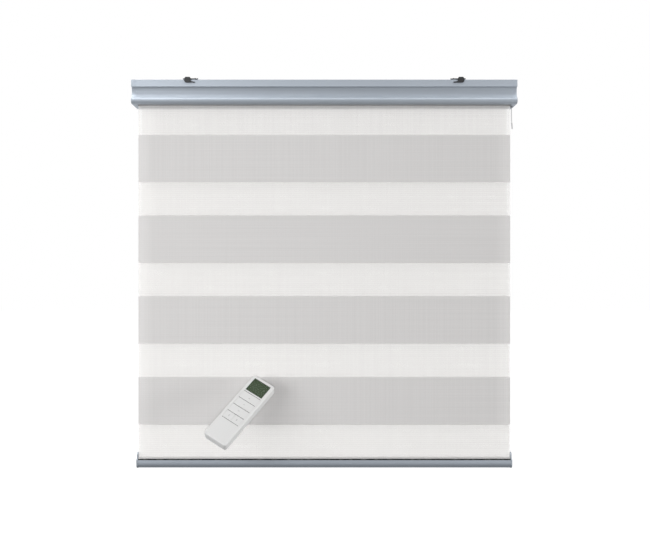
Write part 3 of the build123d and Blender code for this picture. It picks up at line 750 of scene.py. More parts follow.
REMOTE_WHITE = MouldedPlastic("remote_white", (0.7, 0.7, 0.695), 0.45, relief=0.1, drift=0.02)
KEY_MARK = MouldedPlastic("key_mark", (0.16, 0.16, 0.16), 0.5)
# Near-black for the dark strips that paint the shade in the bar's mouth and in the key gaps.
SHADE_BLACK = Rubber("painted_shade_black", (0.015, 0.015, 0.015), 0.7)
CLEAR_WINDOW = ClearPlastic("clear_window", (0.95, 0.97, 0.96), 0.04)
DISPLAY = LiquidCrystal("display_glass", (0.055, 0.078, 0.045), 0.5)
BAND_CLOTH = Cloth("band_cloth", (0.66, 0.648, 0.642), 0.75, light_through=0.35)
SHEER_CLOTH = Cloth(
    "sheer_cloth", (0.93, 0.915, 0.9), 0.7, threads=(560.0, 700.0), opening=0.5, thread_alpha=0.35,
    gap_alpha=0.14, side_lift=0.03, rib_tone=0.03,
)

NODE_FINISHES: dict[Finish, Names] = {
    SATIN_SILVER: ("headrail_profile", "bottom_bar_profile", "front_fascia"),
    DRAWN_TUBE: ("roller_tube",),
    CAP_SILVER: ("end_cap_left", "end_cap_right", "bottom_bar_cap_left", "bottom_bar_cap_right"),
    BLACK_COAT: ("bracket_plate_left", "bracket_plate_right", "bracket_latch_left", "bracket_latch_right"),
    BRIGHT_ZINC: ("bracket_rivets", "end_cap_screws", "idler_pin", "output_shaft", "bottom_roller_pins"),
    ROLLED_STEEL: ("bottom_roller", "dc_motor", "remote_contacts", "remote_switches"),
    WHITE_STRIP: ("roller_insert_strip", "rear_insert_strip"),
    MOTOR_WHITE: ("motor_housing",),
    BLACK_PLASTIC: ("motor_head", "drive_wheel", "drive_crown", "idler_plug", "gearbox_case"),
    ORANGE_PLASTIC: ("programming_button",),
    GREEN_BOARD: ("control_board", "remote_board"),
    CELL_WRAP: ("battery_cells", "remote_cells"),
    LEAD_GREY: ("antenna_wire", "antenna_tip"),
    GREY_RUBBER: ("wire_grommet",),
    REMOTE_WHITE: (
        "remote_front_shell", "remote_rear_shell", "remote_battery_door", "remote_key_up", "remote_key_stop",
        "remote_key_down", "remote_key_previous", "remote_key_next",
    ),
    CLEAR_WINDOW: ("remote_window",),
    DISPLAY: ("remote_display",),
    BAND_CLOTH: ("fabric_front", "fabric_rear", "fabric_turn", "fabric_roll"),
}


class Paint:
    """Makes each finish once and puts it on pieces."""

    def __init__(self) -> None:
        """Start with no finish made."""
        self.made: dict[Finish, bpy.types.Material] = {}

    def material(self, finish: Finish) -> bpy.types.Material:
        """Make the finish's material at its first use.

        Args:
            finish: The finish.

        Returns:
            Its material.
        """
        if finish not in self.made:
            self.made[finish] = finish.build()
        return self.made[finish]

    def coat(self, piece: Piece, *finishes: Finish) -> None:
        """Give a new piece its finishes, one slot each.

        Args:
            piece: The piece to finish.
            finishes: What it is finished in, the main one first.
        """
        piece.data.materials.clear()
        for finish in finishes:
            piece.data.materials.append(self.material(finish))

    def coat_nodes(self) -> None:
        """Finish every CAD node."""
        for finish, names in NODE_FINISHES.items():
            for name in names:
                for place in frame["nodes"][name].material_slots:
                    place.material = self.material(finish)


PAINT = Paint()


def near(value: float, wanted: float, slack: float = 0.05 * MM) -> bool:
    """Whether two lengths agree."""
    return abs(value - wanted) < slack


def faces_up(middle: Vector, normal: Vector, least: float = 0.9) -> bool:
    """Whether a face looks up, by the least height of its normal."""
    return normal.z > least


def add_modifier(piece: Piece, kind: str, **settings: Any) -> str:
    """Add a modifier to a piece.

    Args:
        piece: The piece.
        kind: The modifier's type.
        settings: Its properties.

    Returns:
        The modifier's name.
    """
    made = piece.modifiers.new(kind.lower(), kind)
    for name, value in settings.items():
        setattr(made, name, value)
    return made.name


class Shaper:
    """A mesh that is shaped in edit mode, step by step."""

    def __init__(self, name: str, primitive: str, scale: Place, **options: Any) -> None:
        """Add the primitive it starts from, one unit large unless it is a cylinder.

        Args:
            name: The piece's name.
            primitive: Which primitive, as in Blender's Add menu.
            scale: How much larger it is made along X, Y and Z.
            options: The primitive's own settings.
        """
        if primitive != "cylinder":
            options["size"] = 1.0
        bpy.ops.object.select_all(action="DESELECT")
        getattr(bpy.ops.mesh, f"primitive_{primitive}_add")(**options)
        self.piece = bpy.context.active_object
        self.piece.name = name
        self.piece.data.name = name
        bpy.ops.object.transform_apply(location=False, rotation=True, scale=True)
        self.piece.scale = scale
        bpy.ops.object.transform_apply(location=True, rotation=True, scale=True)
        bpy.ops.object.mode_set(mode="EDIT")

    def pick(self, kind: Kind, test: Test) -> None:
        """Select what passes a test.

        Args:
            kind: Corners, edges or faces.
            test: Given a part's middle and its normal or direction, says whether it is wanted.
        """
        bpy.ops.mesh.select_mode(type=kind.value)
        bpy.ops.mesh.select_all(action="DESELECT")
        shape = bmesh.from_edit_mesh(self.piece.data)
        if kind is Kind.CORNER:
            parts = [(corner, corner.co, corner.normal) for corner in shape.verts]
        elif kind is Kind.EDGE:
            ends = [(edge, edge.verts[0].co, edge.verts[1].co) for edge in shape.edges]
            parts = [(edge, (start + end) / 2, end - start) for edge, start, end in ends]
        else:
            parts = [(face, face.calc_center_median(), face.normal) for face in shape.faces]
        for part, middle, way in parts:
            if test(middle, way):
                part.select_set(True)
        bmesh.update_edit_mesh(self.piece.data)

    def all(self) -> None:
        """Select everything."""
        bpy.ops.mesh.select_all(action="SELECT")

    def extrude(self, *move: float) -> None:
        """Pull out what is selected by a step along X, Y and Z."""
        bpy.ops.mesh.extrude_region_move(TRANSFORM_OT_translate={"value": move})

    def move(self, *step: float) -> None:
        """Move what is selected by a step along X, Y and Z."""
        bpy.ops.transform.translate(value=step)

    def sweep(self, middle: Span, degrees: float, steps: int) -> None:
        """Sweep the selected edges about an axis along X.

        Args:
            middle: The axis's Y and Z.
            degrees: How far, from Y towards Z.
            steps: How many faces the sweep has.
        """
        bpy.ops.mesh.spin(
            steps=steps, angle=-math.radians(degrees), center=(0.0, *middle), axis=(1.0, 0.0, 0.0)
        )

    def deepen(self, depth: float) -> None:
        """Make a closed block of a flat sheet.

        Args:
            depth: How far down the block reaches.
        """
        self.all()
        self.extrude(0.0, 0.0, -depth)
        self.all()
        bpy.ops.mesh.normals_make_consistent(inside=False)

    def modify(self, kind: str, **settings: Any) -> None:
        """Add a modifier in object mode and apply it.

        Args:
            kind: The modifier's type.
            settings: Its properties.
        """
        mode = self.piece.mode
        bpy.ops.object.mode_set(mode="OBJECT")
        bpy.ops.object.modifier_apply(modifier=add_modifier(self.piece, kind, **settings))
        bpy.ops.object.mode_set(mode=mode)

    def thicken(self, thickness: float, offset: float = 0.0) -> None:
        """Make a sheet a solid about its middle plane, or on one side by an offset of 1 or -1."""
        self.modify("SOLIDIFY", thickness=thickness, offset=offset)

    def bevel(self, width: float, **limits: Any) -> None:
        """Round the edges by a width, all of them or those within limits."""
        self.modify("BEVEL", width=width, segments=EDGE_STEPS, **limits)

    def finish(self, smooth_angle: float = 30.0) -> Piece:
        """Leave edit mode and shade what is round smoothly.

        Args:
            smooth_angle: The sharpest angle in degrees that still shades smoothly.

        Returns:
            The shaped piece.
        """
        bpy.ops.object.mode_set(mode="OBJECT")
        bpy.ops.object.shade_smooth_by_angle(angle=math.radians(smooth_angle))
        return self.piece

    def finish_wall(self, wall: float, edge_round: float) -> Piece:
        """Give an extruded profile its wall, round its edges and leave edit mode.

        Args:
            wall: How thick the profile is.
            edge_round: How wide its edges are rounded.

        Returns:
            The shaped piece.
        """
        self.modify("SOLIDIFY", thickness=wall, offset=-1.0, use_even_offset=True)
        self.bevel(edge_round, limit_method="ANGLE", angle_limit=SHARP_EDGE)
        self.finish()
        self.modify("WEIGHTED_NORMAL", keep_sharp=True)
        return self.piece


def place_piece(piece: Piece, body: str, slot: str, *nodes: str, finish: Optional[Finish] = None) -> Piece:
    """Finish a piece and hang it on its body.

    Args:
        piece: The shaped piece.
        body: The body that carries it.
        slot: The material slot of the record that it takes; not used.
        nodes: The CAD nodes that it stands for.
        finish: What it is finished in, where it isn't finished yet.

    Returns:
        The same piece.
    """
    if finish:
        PAINT.coat(piece, finish)
    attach(piece, body)
    if nodes:
        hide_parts(*nodes)
    log.info("%s rides on %s", piece.name, body)
    return piece


def join(name: str, parts: list[Piece]) -> Piece:
    """Make one piece of several.

    Args:
        name: The joined piece's name.
        parts: What is joined.

    Returns:
        The joined piece.
    """
    bpy.ops.object.select_all(action="DESELECT")
    for part in parts:
        part.select_set(True)
    bpy.context.view_layer.objects.active = parts[0]
    bpy.ops.object.join()
    parts[0].name = name
    parts[0].data.name = name
    return parts[0]


def copy_of(piece: Piece, name: str, place: Matrix) -> Piece:
    """Copy a piece with its own mesh, placed in that mesh.

    Args:
        piece: The piece to copy.
        name: The copy's name.
        place: Where the copy goes.

    Returns:
        The copy.
    """
    made = piece.copy()
    made.data = piece.data.copy()
    made.name = name
    made.data.name = name
    made.data.transform(place)
    bpy.context.scene.collection.objects.link(made)
    return made


def soften(node: str, width: float) -> None:
    """Round a kept CAD node's edges with live modifiers.

    Args:
        node: The node's name.
        width: How wide the rounding is.
    """
    piece = frame["nodes"][node]
    add_modifier(piece, "WELD", merge_threshold=CAD_WELD)
    add_modifier(piece, "DECIMATE", decimate_type="DISSOLVE", angle_limit=CAD_FLAT_EDGE)
    limits = {"limit_method": "ANGLE", "angle_limit": CAD_SHARP_EDGE}
    add_modifier(piece, "BEVEL", width=width, segments=CAD_EDGE_STEPS, **limits)
    add_modifier(piece, "WEIGHTED_NORMAL", keep_sharp=True)


@dataclass
class Cassette:
    """Headrail, snap-on fascia, end caps and their screws."""

    strip_height: float = 15.0 * MM
    lip_radius: float = 7.5 * MM
    lip_reach: float = 2.0 * MM
    cove_radius: float = 18.0 * MM
    cove_turn: float = 50.0
    sole_depth: float = 5.0 * MM
    wall: float = 1.6 * MM
    edge_round: float = 0.35 * MM
    headrail_round: float = 0.25 * MM
    arc_steps: int = 24
    screw_level: float = -46.9 * MM
    screw_radius: float = 2.8 * MM
    screw_height: float = 1.7 * MM
    screw_dome: float = 0.45 * MM
    crown_share: float = 0.3
    screw_sides: int = 32
    screw_smoothing: float = 40.0
    recess_length: float = 3.4 * MM
    recess_width: float = 0.7 * MM
    recess_depth: float = 1.0 * MM

    def build(self) -> None:
        """Model the fascia and the screws, and round the other edges."""
        self.build_fascia()
        self.build_screws()
        soften("headrail_profile", self.headrail_round)

    def build_fascia(self) -> None:
        """Model the strip, ledge, cove, lip and sole as one wall."""
        low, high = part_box("front_fascia")
        strip_y = low.y + self.lip_reach
        ledge_z = high.z - self.strip_height
        lip = (low.y + self.lip_radius, low.z + self.lip_radius)
        turn = math.radians(self.cove_turn)
        reach = self.cove_radius + self.lip_radius
        cove = (lip[0] - reach * math.cos(turn), lip[1] + reach * math.sin(turn))
        start = math.asin((ledge_z - cove[1]) / self.cove_radius)
        ledge_y = cove[0] + self.cove_radius * math.cos(start)
        shape = Shaper(
            "cassette_fascia", "plane", (high.x - low.x, 1.0, self.strip_height),
            location=(0.0, strip_y, (high.z + ledge_z) / 2), rotation=UPRIGHT,
        )
        shape.pick(Kind.EDGE, lambda middle, along: near(middle.z, ledge_z))
        shape.extrude(0.0, ledge_y - strip_y, 0.0)
        shape.sweep(cove, -math.degrees(start) - self.cove_turn, self.arc_steps)
        shape.sweep(lip, 90.0 + self.cove_turn, self.arc_steps)
        shape.extrude(0.0, self.sole_depth, 0.0)
        piece = shape.finish_wall(self.wall, self.edge_round)
        place_piece(piece, "headrail", "satin_aluminium", "front_fascia", finish=SATIN_SILVER)

    def build_screws(self) -> None:
        """Model one cross-headed screw and set it in each recess of the caps."""
        shape = Shaper(
            "cap_screw", "cylinder", UNSCALED, vertices=self.screw_sides, radius=self.screw_radius,
            depth=self.screw_height, location=(0.0, 0.0, -self.screw_height / 2),
        )
        shape.pick(Kind.FACE, faces_up)
        for rise in (self.screw_dome, self.screw_dome * self.crown_share):
            bpy.ops.mesh.inset(thickness=self.screw_radius * self.crown_share, depth=rise)
        piece = shape.finish(self.screw_smoothing)
        self.cut_recess(piece, self.recess_length, self.recess_width)
        self.cut_recess(piece, 2 * self.recess_width, self.recess_length)
        low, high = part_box("end_cap_screws")
        seat = high.x - self.screw_dome * (1.0 + self.crown_share)
        back_y = high.y - self.screw_radius
        lip_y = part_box("front_fascia")[0].y + self.lip_radius
        places = (
            (back_y, high.z - self.screw_radius),
            (back_y, self.screw_level),
            (lip_y, low.z + self.screw_radius),
        )
        copies = []
        for side in (-1.0, 1.0):
            turned = Matrix.Rotation(side * math.pi / 2, 4, "Y")
            for y, z in places:
                spot = Matrix.Translation((side * seat, y, z))
                copies.append(copy_of(piece, "cap_screw_copy", spot @ turned))
        bpy.data.objects.remove(piece)
        screws = join("cap_screw_heads", copies)
        place_piece(screws, "headrail", "bright_steel", "end_cap_screws", finish=BRIGHT_ZINC)

    def cut_recess(self, screw: Piece, across: float, along: float) -> None:
        """Cut one arm of the cross into the screw's head.

        Args:
            screw: The screw, standing at the origin.
            across: The arm's size along X.
            along: The arm's size along Y.
        """
        place = (0.0, 0.0, self.screw_dome)
        cutter = Shaper("cutter", "cube", (across, along, 2 * self.recess_depth), location=place).finish()
        bpy.context.view_layer.objects.active = screw
        recess = add_modifier(screw, "BOOLEAN", object=cutter, operation="DIFFERENCE", solver="EXACT")
        bpy.ops.object.modifier_apply(modifier=recess)
        bpy.data.objects.remove(cutter)


@dataclass
class Brackets:
    """The two ceiling brackets and their latches."""

    edge_round: float = 0.3 * MM

    def build(self) -> None:
        """Round the sheet edges."""
        for side in ("left", "right"):
            soften(f"bracket_plate_{side}", self.edge_round)
            soften(f"bracket_latch_{side}", self.edge_round)


@dataclass
class Banding:
    """Where the opaque bands of one layer lie."""

    first_top: float
    band: float
    pitch: float

    def edges(self, low: float, high: float) -> list[float]:
        """Find the heights of the band edges.

        Args:
            low: The lowest height of the layer.
            high: Its highest height.

        Returns:
            The heights of the edges between these two.
        """
        found = []
        top = self.first_top + self.pitch
        while top > low:
            found += [top, top - self.band]
            top -= self.pitch
        return [z for z in found if low < z < high]

    def opaque(self, z: float) -> bool:
        """Whether a height lies in an opaque band."""
        return (self.first_top - z) % self.pitch < self.band


@dataclass
class Curtain:
    """The banded fabric: front layer, rear layer, fold and the turns on the roller."""

    front_bands: Banding
    rear_bands: Banding
    thickness: float = 0.4 * MM
    columns: int = 60
    rows: int = 90
    ripple: float = 0.5 * MM
    ripple_length: float = 160.0 * MM
    lean_growth: float = 2.0
    start_height: float = 0.2 * MM
    fold_steps: int = 24
    turns: int = 2
    turn_steps: int = 40
    pressed: float = 0.9

    def build(self) -> None:
        """Model the four pieces of fabric."""
        self.build_front()
        self.build_rear()
        self.build_fold()
        self.build_turns()

    def layer(self, name: str, low: Vector, high: Vector, bands: Banding) -> Piece:
        """Model a hanging layer, flat in its middle plane.

        Args:
            name: The piece's name.
            low: The lowest corner of its box.
            high: The highest corner of its box.
            bands: Where its opaque bands lie.

        Returns:
            The layer with its bands and a slight ripple.
        """
        middle = (low + high) / 2
        shape = Shaper(
            name, "grid", (high.x - low.x, 1.0, high.z - low.z), x_subdivisions=self.columns,
            y_subdivisions=self.rows, location=(0.0, middle.y, middle.z), rotation=UPRIGHT,
        )
        for z in bands.edges(low.z, high.z):
            shape.all()
            bpy.ops.mesh.bisect(plane_co=(0.0, middle.y, z), plane_no=(0.0, 0.0, 1.0))
        PAINT.coat(shape.piece, BAND_CLOTH, SHEER_CLOTH)
        shape.pick(Kind.FACE, lambda centre, normal: not bands.opaque(centre.z))
        shape.piece.active_material_index = 1
        bpy.ops.object.material_slot_assign()
        bpy.ops.object.mode_set(mode="OBJECT")
        cloud = bpy.data.textures.new(f"{name}_ripple", "CLOUDS")
        cloud.noise_scale = self.ripple_length
        shape.modify("DISPLACE", texture=cloud, direction="Y", strength=self.ripple, mid_level=0.5)
        shape.thicken(self.thickness)
        return shape.finish()

    def gather(self, piece: Piece) -> None:
        """Give a layer a mesh of its own.

        Args:
            piece: The layer.
        """
        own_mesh(piece)

    def build_front(self) -> None:
        """Hang the front layer from the roll."""
        low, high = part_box("fabric_front")
        piece = self.layer("fabric_front_layer", low, high, self.front_bands)
        place_piece(piece, "headrail", "banded_fabric", "fabric_front")
        self.gather(piece)

    def build_rear(self) -> None:
        """Hang the rear layer from the headrail's groove, leaning back more towards its top."""
        low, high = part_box("fabric_rear")
        reach = high.y - low.y - self.thickness
        flat_high = Vector((high.x, low.y + self.thickness, high.z))
        piece = self.layer("fabric_rear_layer", low, flat_high, self.rear_bands)
        for corner in piece.data.vertices:
            share = max(0.0, (corner.co.z - low.z) / (high.z - low.z))
            corner.co.y += reach * share ** self.lean_growth
        place_piece(piece, "headrail", "banded_fabric", "fabric_rear")
        self.gather(piece)

    def strip(self, name: str, width: float, y: float, edge: float, rise: float) -> Shaper:
        """Start a swept sheet as a short upright strip, with one edge picked.

        Args:
            name: The piece's name.
            width: How wide the sheet is.
            y: Where the strip stands.
            edge: How high the picked edge lies.
            rise: How far the strip goes up from that edge, or down where it is negative.

        Returns:
            The strip.
        """
        place = (0.0, y, edge + rise / 2)
        shape = Shaper(name, "plane", (width, 1.0, abs(rise)), location=place, rotation=UPRIGHT)
        shape.pick(Kind.EDGE, lambda middle, along: near(middle.z, edge))
        return shape

    def build_fold(self) -> None:
        """Turn the fabric round the bottom roller."""
        low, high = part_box("fabric_turn")
        radius = (high.y - low.y - self.thickness) / 2
        middle = (low.y + high.y) / 2
        shape = self.strip("fabric_fold", high.x - low.x, middle - radius, high.z, self.start_height)
        shape.sweep((middle, high.z), 180.0, self.fold_steps)
        shape.thicken(self.thickness)
        piece = shape.finish()
        place_piece(piece, "bottom_bar", "banded_fabric", "fabric_turn", finish=BAND_CLOTH)

    def build_turns(self) -> None:
        """Wind the fabric on the tube as half turns about two centres in turn."""
        low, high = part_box("fabric_roll")
        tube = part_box("roller_tube")[1].y
        middle = (low.z + high.z) / 2
        outer = (high.y - low.y) / 2
        step = (outer - tube - self.thickness) / self.turns / 2
        edge_y = self.thickness / 2 - outer
        shape = self.strip("fabric_winding", high.x - low.x, edge_y, middle, -self.start_height)
        centre = 0.0
        for _ in range(2 * self.turns):
            shape.sweep((centre, middle), -180.0, self.turn_steps)
            centre = step / 2 - centre
        shape.thicken(self.thickness * self.pressed)
        piece = shape.finish()
        place_piece(piece, "roller", "banded_fabric", "fabric_roll", finish=BAND_CLOTH)


@dataclass
class BottomBar:
    """The bottom bar's channel, a dark strip of painted shade in its mouth, and its caps."""

    corner: float = 9.0 * MM
    chin: float = 12.0 * MM
    shoulder: float = 1.6 * MM
    mouth: float = 19.0 * MM
    wall: float = 1.6 * MM
    edge_round: float = 0.3 * MM
    cap_round: float = 0.4 * MM
    front_drop: float = 2.6 * MM
    front_curve: float = 35.0 * MM
    # The dark strip in the mouth is painted shade, standing in for the shadow between the fabric and the
    # bar's front wall.
    mouth_shade_gap: float = 0.1 * MM
    mouth_shade_clearance: float = 0.6 * MM
    mouth_shade_height: float = 5.0 * MM
    corner_steps: int = 18
    front_steps: int = 12
    shoulder_steps: int = 10

    def build(self) -> None:
        """Model the profile and the dark strip of painted shade in its mouth, and round the caps."""
        self.build_profile()
        self.build_mouth_shade()
        soften("bottom_bar_cap_left", self.cap_round)
        soften("bottom_bar_cap_right", self.cap_round)

    def front_turn(self, low: Vector, high: Vector) -> float:
        """How far the front wall curves back from upright at its top edge, in radians."""
        return math.asin((high.z - self.front_drop - low.z - self.chin) / self.front_curve)

    def build_profile(self) -> None:
        """Model the channel from its floor up its curved front and round its back to the lip."""
        low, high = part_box("bottom_bar_profile")
        lip = (low.y + high.y + self.mouth) / 2
        bottom = (low.y + self.chin, low.z + self.chin)
        back_bottom = (high.y - self.corner, low.z + self.corner)
        back = (high.y - self.shoulder, high.z - self.shoulder)
        turn = math.degrees(self.front_turn(low, high))
        shape = Shaper(
            "bottom_bar_channel", "plane", (high.x - low.x, back_bottom[0] - bottom[0], 1.0),
            location=(0.0, (back_bottom[0] + bottom[0]) / 2, low.z), rotation=UPSIDE_DOWN,
        )
        shape.pick(Kind.EDGE, lambda middle, along: near(middle.y, bottom[0]))
        shape.sweep(bottom, -90.0, self.corner_steps)
        shape.sweep((low.y + self.front_curve, bottom[1]), -turn, self.front_steps)
        shape.pick(Kind.EDGE, lambda spot, along: near(spot.y, back_bottom[0]) and near(spot.z, low.z))
        shape.sweep(back_bottom, 90.0, self.corner_steps)
        shape.extrude(0.0, 0.0, back[1] - back_bottom[1])
        shape.sweep(back, 90.0, self.shoulder_steps)
        shape.extrude(0.0, lip - back[0], 0.0)
        piece = shape.finish_wall(self.wall, self.edge_round)
        place_piece(piece, "bottom_bar", "satin_aluminium", "bottom_bar_profile", finish=SATIN_SILVER)

    def build_mouth_shade(self) -> None:
        """Model a dark strip that paints the shade in the mouth and shows as a line along it."""
        low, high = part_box("bottom_bar_profile")
        turn = self.front_turn(low, high)
        set_back = self.front_curve * (1.0 - math.cos(turn)) + self.wall / math.cos(turn)
        front = low.y + set_back + self.mouth_shade_gap
        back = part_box("fabric_front")[0].y - self.mouth_shade_clearance
        shape = Shaper(
            "bottom_bar_mouth_shade", "plane", (high.x - low.x, back - front, 1.0),
            location=(0.0, (front + back) / 2, high.z),
        )
        shape.deepen(self.mouth_shade_height)
        shape.bevel(self.edge_round)
        place_piece(shape.finish(), "bottom_bar", "dark_rubber", finish=SHADE_BLACK)


@dataclass
class AntennaLead:
    """The thin lead that hangs from the right cap, with the sleeve over its end."""

    radius: float = 0.8 * MM
    lead_roundness: int = 5
    lead_steps: int = 12
    sleeve_wall: float = 0.35 * MM
    sleeve_gap: float = 0.1 * MM
    sleeve_length: float = 13.0 * MM
    sleeve_round: float = 0.14 * MM
    sleeve_sides: int = 28
    sleeve_smoothing: float = 50.0
    length: float = 57.9 * MM
    route: tuple[Place, ...] = (
        (403.5 * MM, -4.0 * MM, -47.11 * MM),
        (403.5 * MM, -4.0 * MM, -59.0 * MM),
        (403.75 * MM, -4.1 * MM, -74.0 * MM),
        (404.3 * MM, -4.3 * MM, -90.0 * MM),
        (405.1 * MM, -4.6 * MM, -105.0 * MM),
    )

    def build(self) -> None:
        """Model the lead as a smooth curve, and its sleeve."""
        line = bpy.data.curves.new("antenna_lead", "CURVE")
        line.dimensions = "3D"
        spline = line.splines.new("NURBS")
        spline.points.add(len(self.route) - 1)
        for point, place in zip(spline.points, self.route):
            point.co = (*place, 1.0)
        spline.order_u = 3
        spline.use_endpoint_u = True
        line.bevel_depth = self.radius
        line.bevel_resolution = self.lead_roundness
        line.resolution_u = self.lead_steps
        line.use_fill_caps = True
        lead = bpy.data.objects.new("antenna_lead", line)
        bpy.context.scene.collection.objects.link(lead)
        place_piece(lead, "headrail", "lead_grey", "antenna_wire", finish=LEAD_GREY)
        sleeve = self.build_sleeve()

    def build_sleeve(self) -> Piece:
        """Model the sleeve over the lead's end.

        Returns:
            The sleeve.
        """
        end = Vector(self.route[-1])
        run = (Vector(self.route[-2]) - end).normalized()
        outer = self.radius + self.sleeve_gap + self.sleeve_wall
        base = end - run * (self.sleeve_wall + self.sleeve_gap)
        shape = Shaper(
            "antenna_sleeve", "cylinder", UNSCALED, vertices=self.sleeve_sides, radius=outer,
            depth=self.sleeve_length, location=(0.0, 0.0, self.sleeve_length / 2),
        )
        shape.pick(Kind.FACE, faces_up)
        bpy.ops.mesh.inset(thickness=self.sleeve_wall)
        shape.extrude(0.0, 0.0, -self.sleeve_length / 2)
        shape.bevel(self.sleeve_round, limit_method="ANGLE")
        piece = shape.finish(self.sleeve_smoothing)
        turned = run.to_track_quat("Z", "Y").to_matrix().to_4x4()
        piece.data.transform(Matrix.Translation(base) @ turned)
        return place_piece(piece, "headrail", "lead_grey", "antenna_tip", finish=LEAD_GREY)


@dataclass
class RemoteControl:
    """The hand-held remote: softened keys, the marks on them and dark strips of painted shade in the gaps
    between them.
    """

    key_round: float = 0.15 * MM
    face_slack: float = 0.01 * MM
    arrow_arm: float = 2.1 * MM
    arrow_drop: float = 1.5 * MM
    bar_length: float = 3.0 * MM
    mark_line: float = 0.65 * MM
    mark_relief: float = 0.06 * MM
    # The dark strips in the key gaps are painted shade: how far under the key faces they lie, how deep and
    # how far short of the keys.
    gap_shade_sink: float = 0.35 * MM
    gap_shade_depth: float = 1.2 * MM
    gap_shade_margin: float = 0.03 * MM
    keys: tuple[tuple[str, Symbol], ...] = (
        ("up", Symbol.UP), ("stop", Symbol.STOP), ("down", Symbol.DOWN),
        ("previous", Symbol.PREVIOUS), ("next", Symbol.NEXT),
    )

    def __post_init__(self) -> None:
        """Find how the remote lies: across it, towards its top and out of its face."""
        axis = {joint["name"]: Vector(joint["axis"]) for joint in frame["joints"]}
        out = -axis["key_up_press"].normalized()
        top = -axis["battery_door_slide"].normalized()
        self.turned = Matrix((top.cross(out), top, out)).transposed().to_4x4()

    def build(self) -> None:
        """Mark the keys, round their edges and lay dark strips of painted shade in the gaps between them."""
        for name, symbol in self.keys:
            soften(f"remote_key_{name}", self.key_round)
            self.build_mark(name, symbol)
        self.build_key_gap_shade()

    def key_face(self, name: str) -> tuple[Vector, Vector]:
        """Find where a key's face lies in the remote's own directions.

        Args:
            name: The key's name.

        Returns:
            The face's lowest and highest corner.
        """
        inverse = self.turned.to_3x3().transposed()
        key = frame["nodes"][f"remote_key_{name}"]
        corners = [inverse @ corner.co for corner in key.data.vertices]
        level = max(corner.z for corner in corners)
        flat = [corner for corner in corners if corner.z > level - self.face_slack]
        low = Vector([min(corner[axis] for corner in flat) for axis in range(3)])
        high = Vector([max(corner[axis] for corner in flat) for axis in range(3)])
        return low, high

    def build_key_gap_shade(self) -> None:
        """Lay dark strips of painted shade in the key gaps, which show as a line above each row of keys and
        below the last.
        """
        faces = [self.key_face(name) for name, symbol in self.keys]
        line = faces[0][0].y - faces[1][1].y
        left = min(low.x for low, high in faces)
        right = max(high.x for low, high in faces)
        level = faces[0][1].z - self.gap_shade_sink
        rows = [high.y + line / 2 for low, high in faces[:4]] + [faces[3][0].y - line / 2]
        gap_shades = []
        # Each strip is painted shade: a dark sheet set just under the key faces in the gap between two rows
        # of keys.
        for index, along in enumerate(rows):
            shape = Shaper(
                f"web_{index}", "plane", (right - left, line - 2 * self.gap_shade_margin, 1.0),
                location=((left + right) / 2, along, level),
            )
            shape.deepen(self.gap_shade_depth)
            gap_shades.append(shape.finish())
            gap_shades[-1].data.transform(self.turned)
        place_piece(join("remote_key_gap_shade", gap_shades), "headrail", "dark_rubber", finish=SHADE_BLACK)

    def build_mark(self, name: str, symbol: Symbol) -> None:
        """Print one key's mark as a thin relief.

        Args:
            name: The key's name.
            symbol: Which mark it has.
        """
        low, high = self.key_face(name)
        middle = (low + high) / 2
        arrow = symbol is not Symbol.STOP
        length = self.arrow_arm if arrow else self.bar_length
        shape = Shaper(
            f"key_mark_{name}", "plane", (length, self.mark_line, 1.0),
            location=(-length / 2 if arrow else 0.0, 0.0, 0.0),
        )
        if arrow:
            shape.pick(Kind.CORNER, lambda spot, normal: spot.x < -length / 2)
            shape.move(0.0, -self.arrow_drop, 0.0)
            shape.pick(Kind.EDGE, lambda spot, along: near(spot.x, 0.0))
            shape.extrude(length, -self.arrow_drop, 0.0)
        shape.thicken(self.mark_relief, 1.0)
        piece = shape.finish()
        if arrow:
            piece.data.transform(Matrix.Rotation(math.radians(symbol.value), 4, "Z"))
        piece.data.transform(self.turned @ Matrix.Translation((middle.x, middle.y, high.z)))
        place_piece(piece, f"key_{name}", "display_grey", finish=KEY_MARK)


@dataclass(frozen=True)
class SoftBox:
    """A lamp that faces the object, which glints in glossy surfaces or lights matt ones."""

    name: str
    place: Place
    size: Span
    radiance: float
    glint: bool = True


@dataclass(frozen=True)
class Daylight:
    """Even light from far away: where from, how bright on white, and how wide in degrees."""

    name: str
    direction: Place
    level: float
    softness: float


@dataclass(frozen=True)
class Card:
    """A dark card that glossy surfaces mirror: its near and far edge, its tone and its height."""

    name: str
    near_y: float
    far_y: float
    tone: float
    rise: float = 0.0


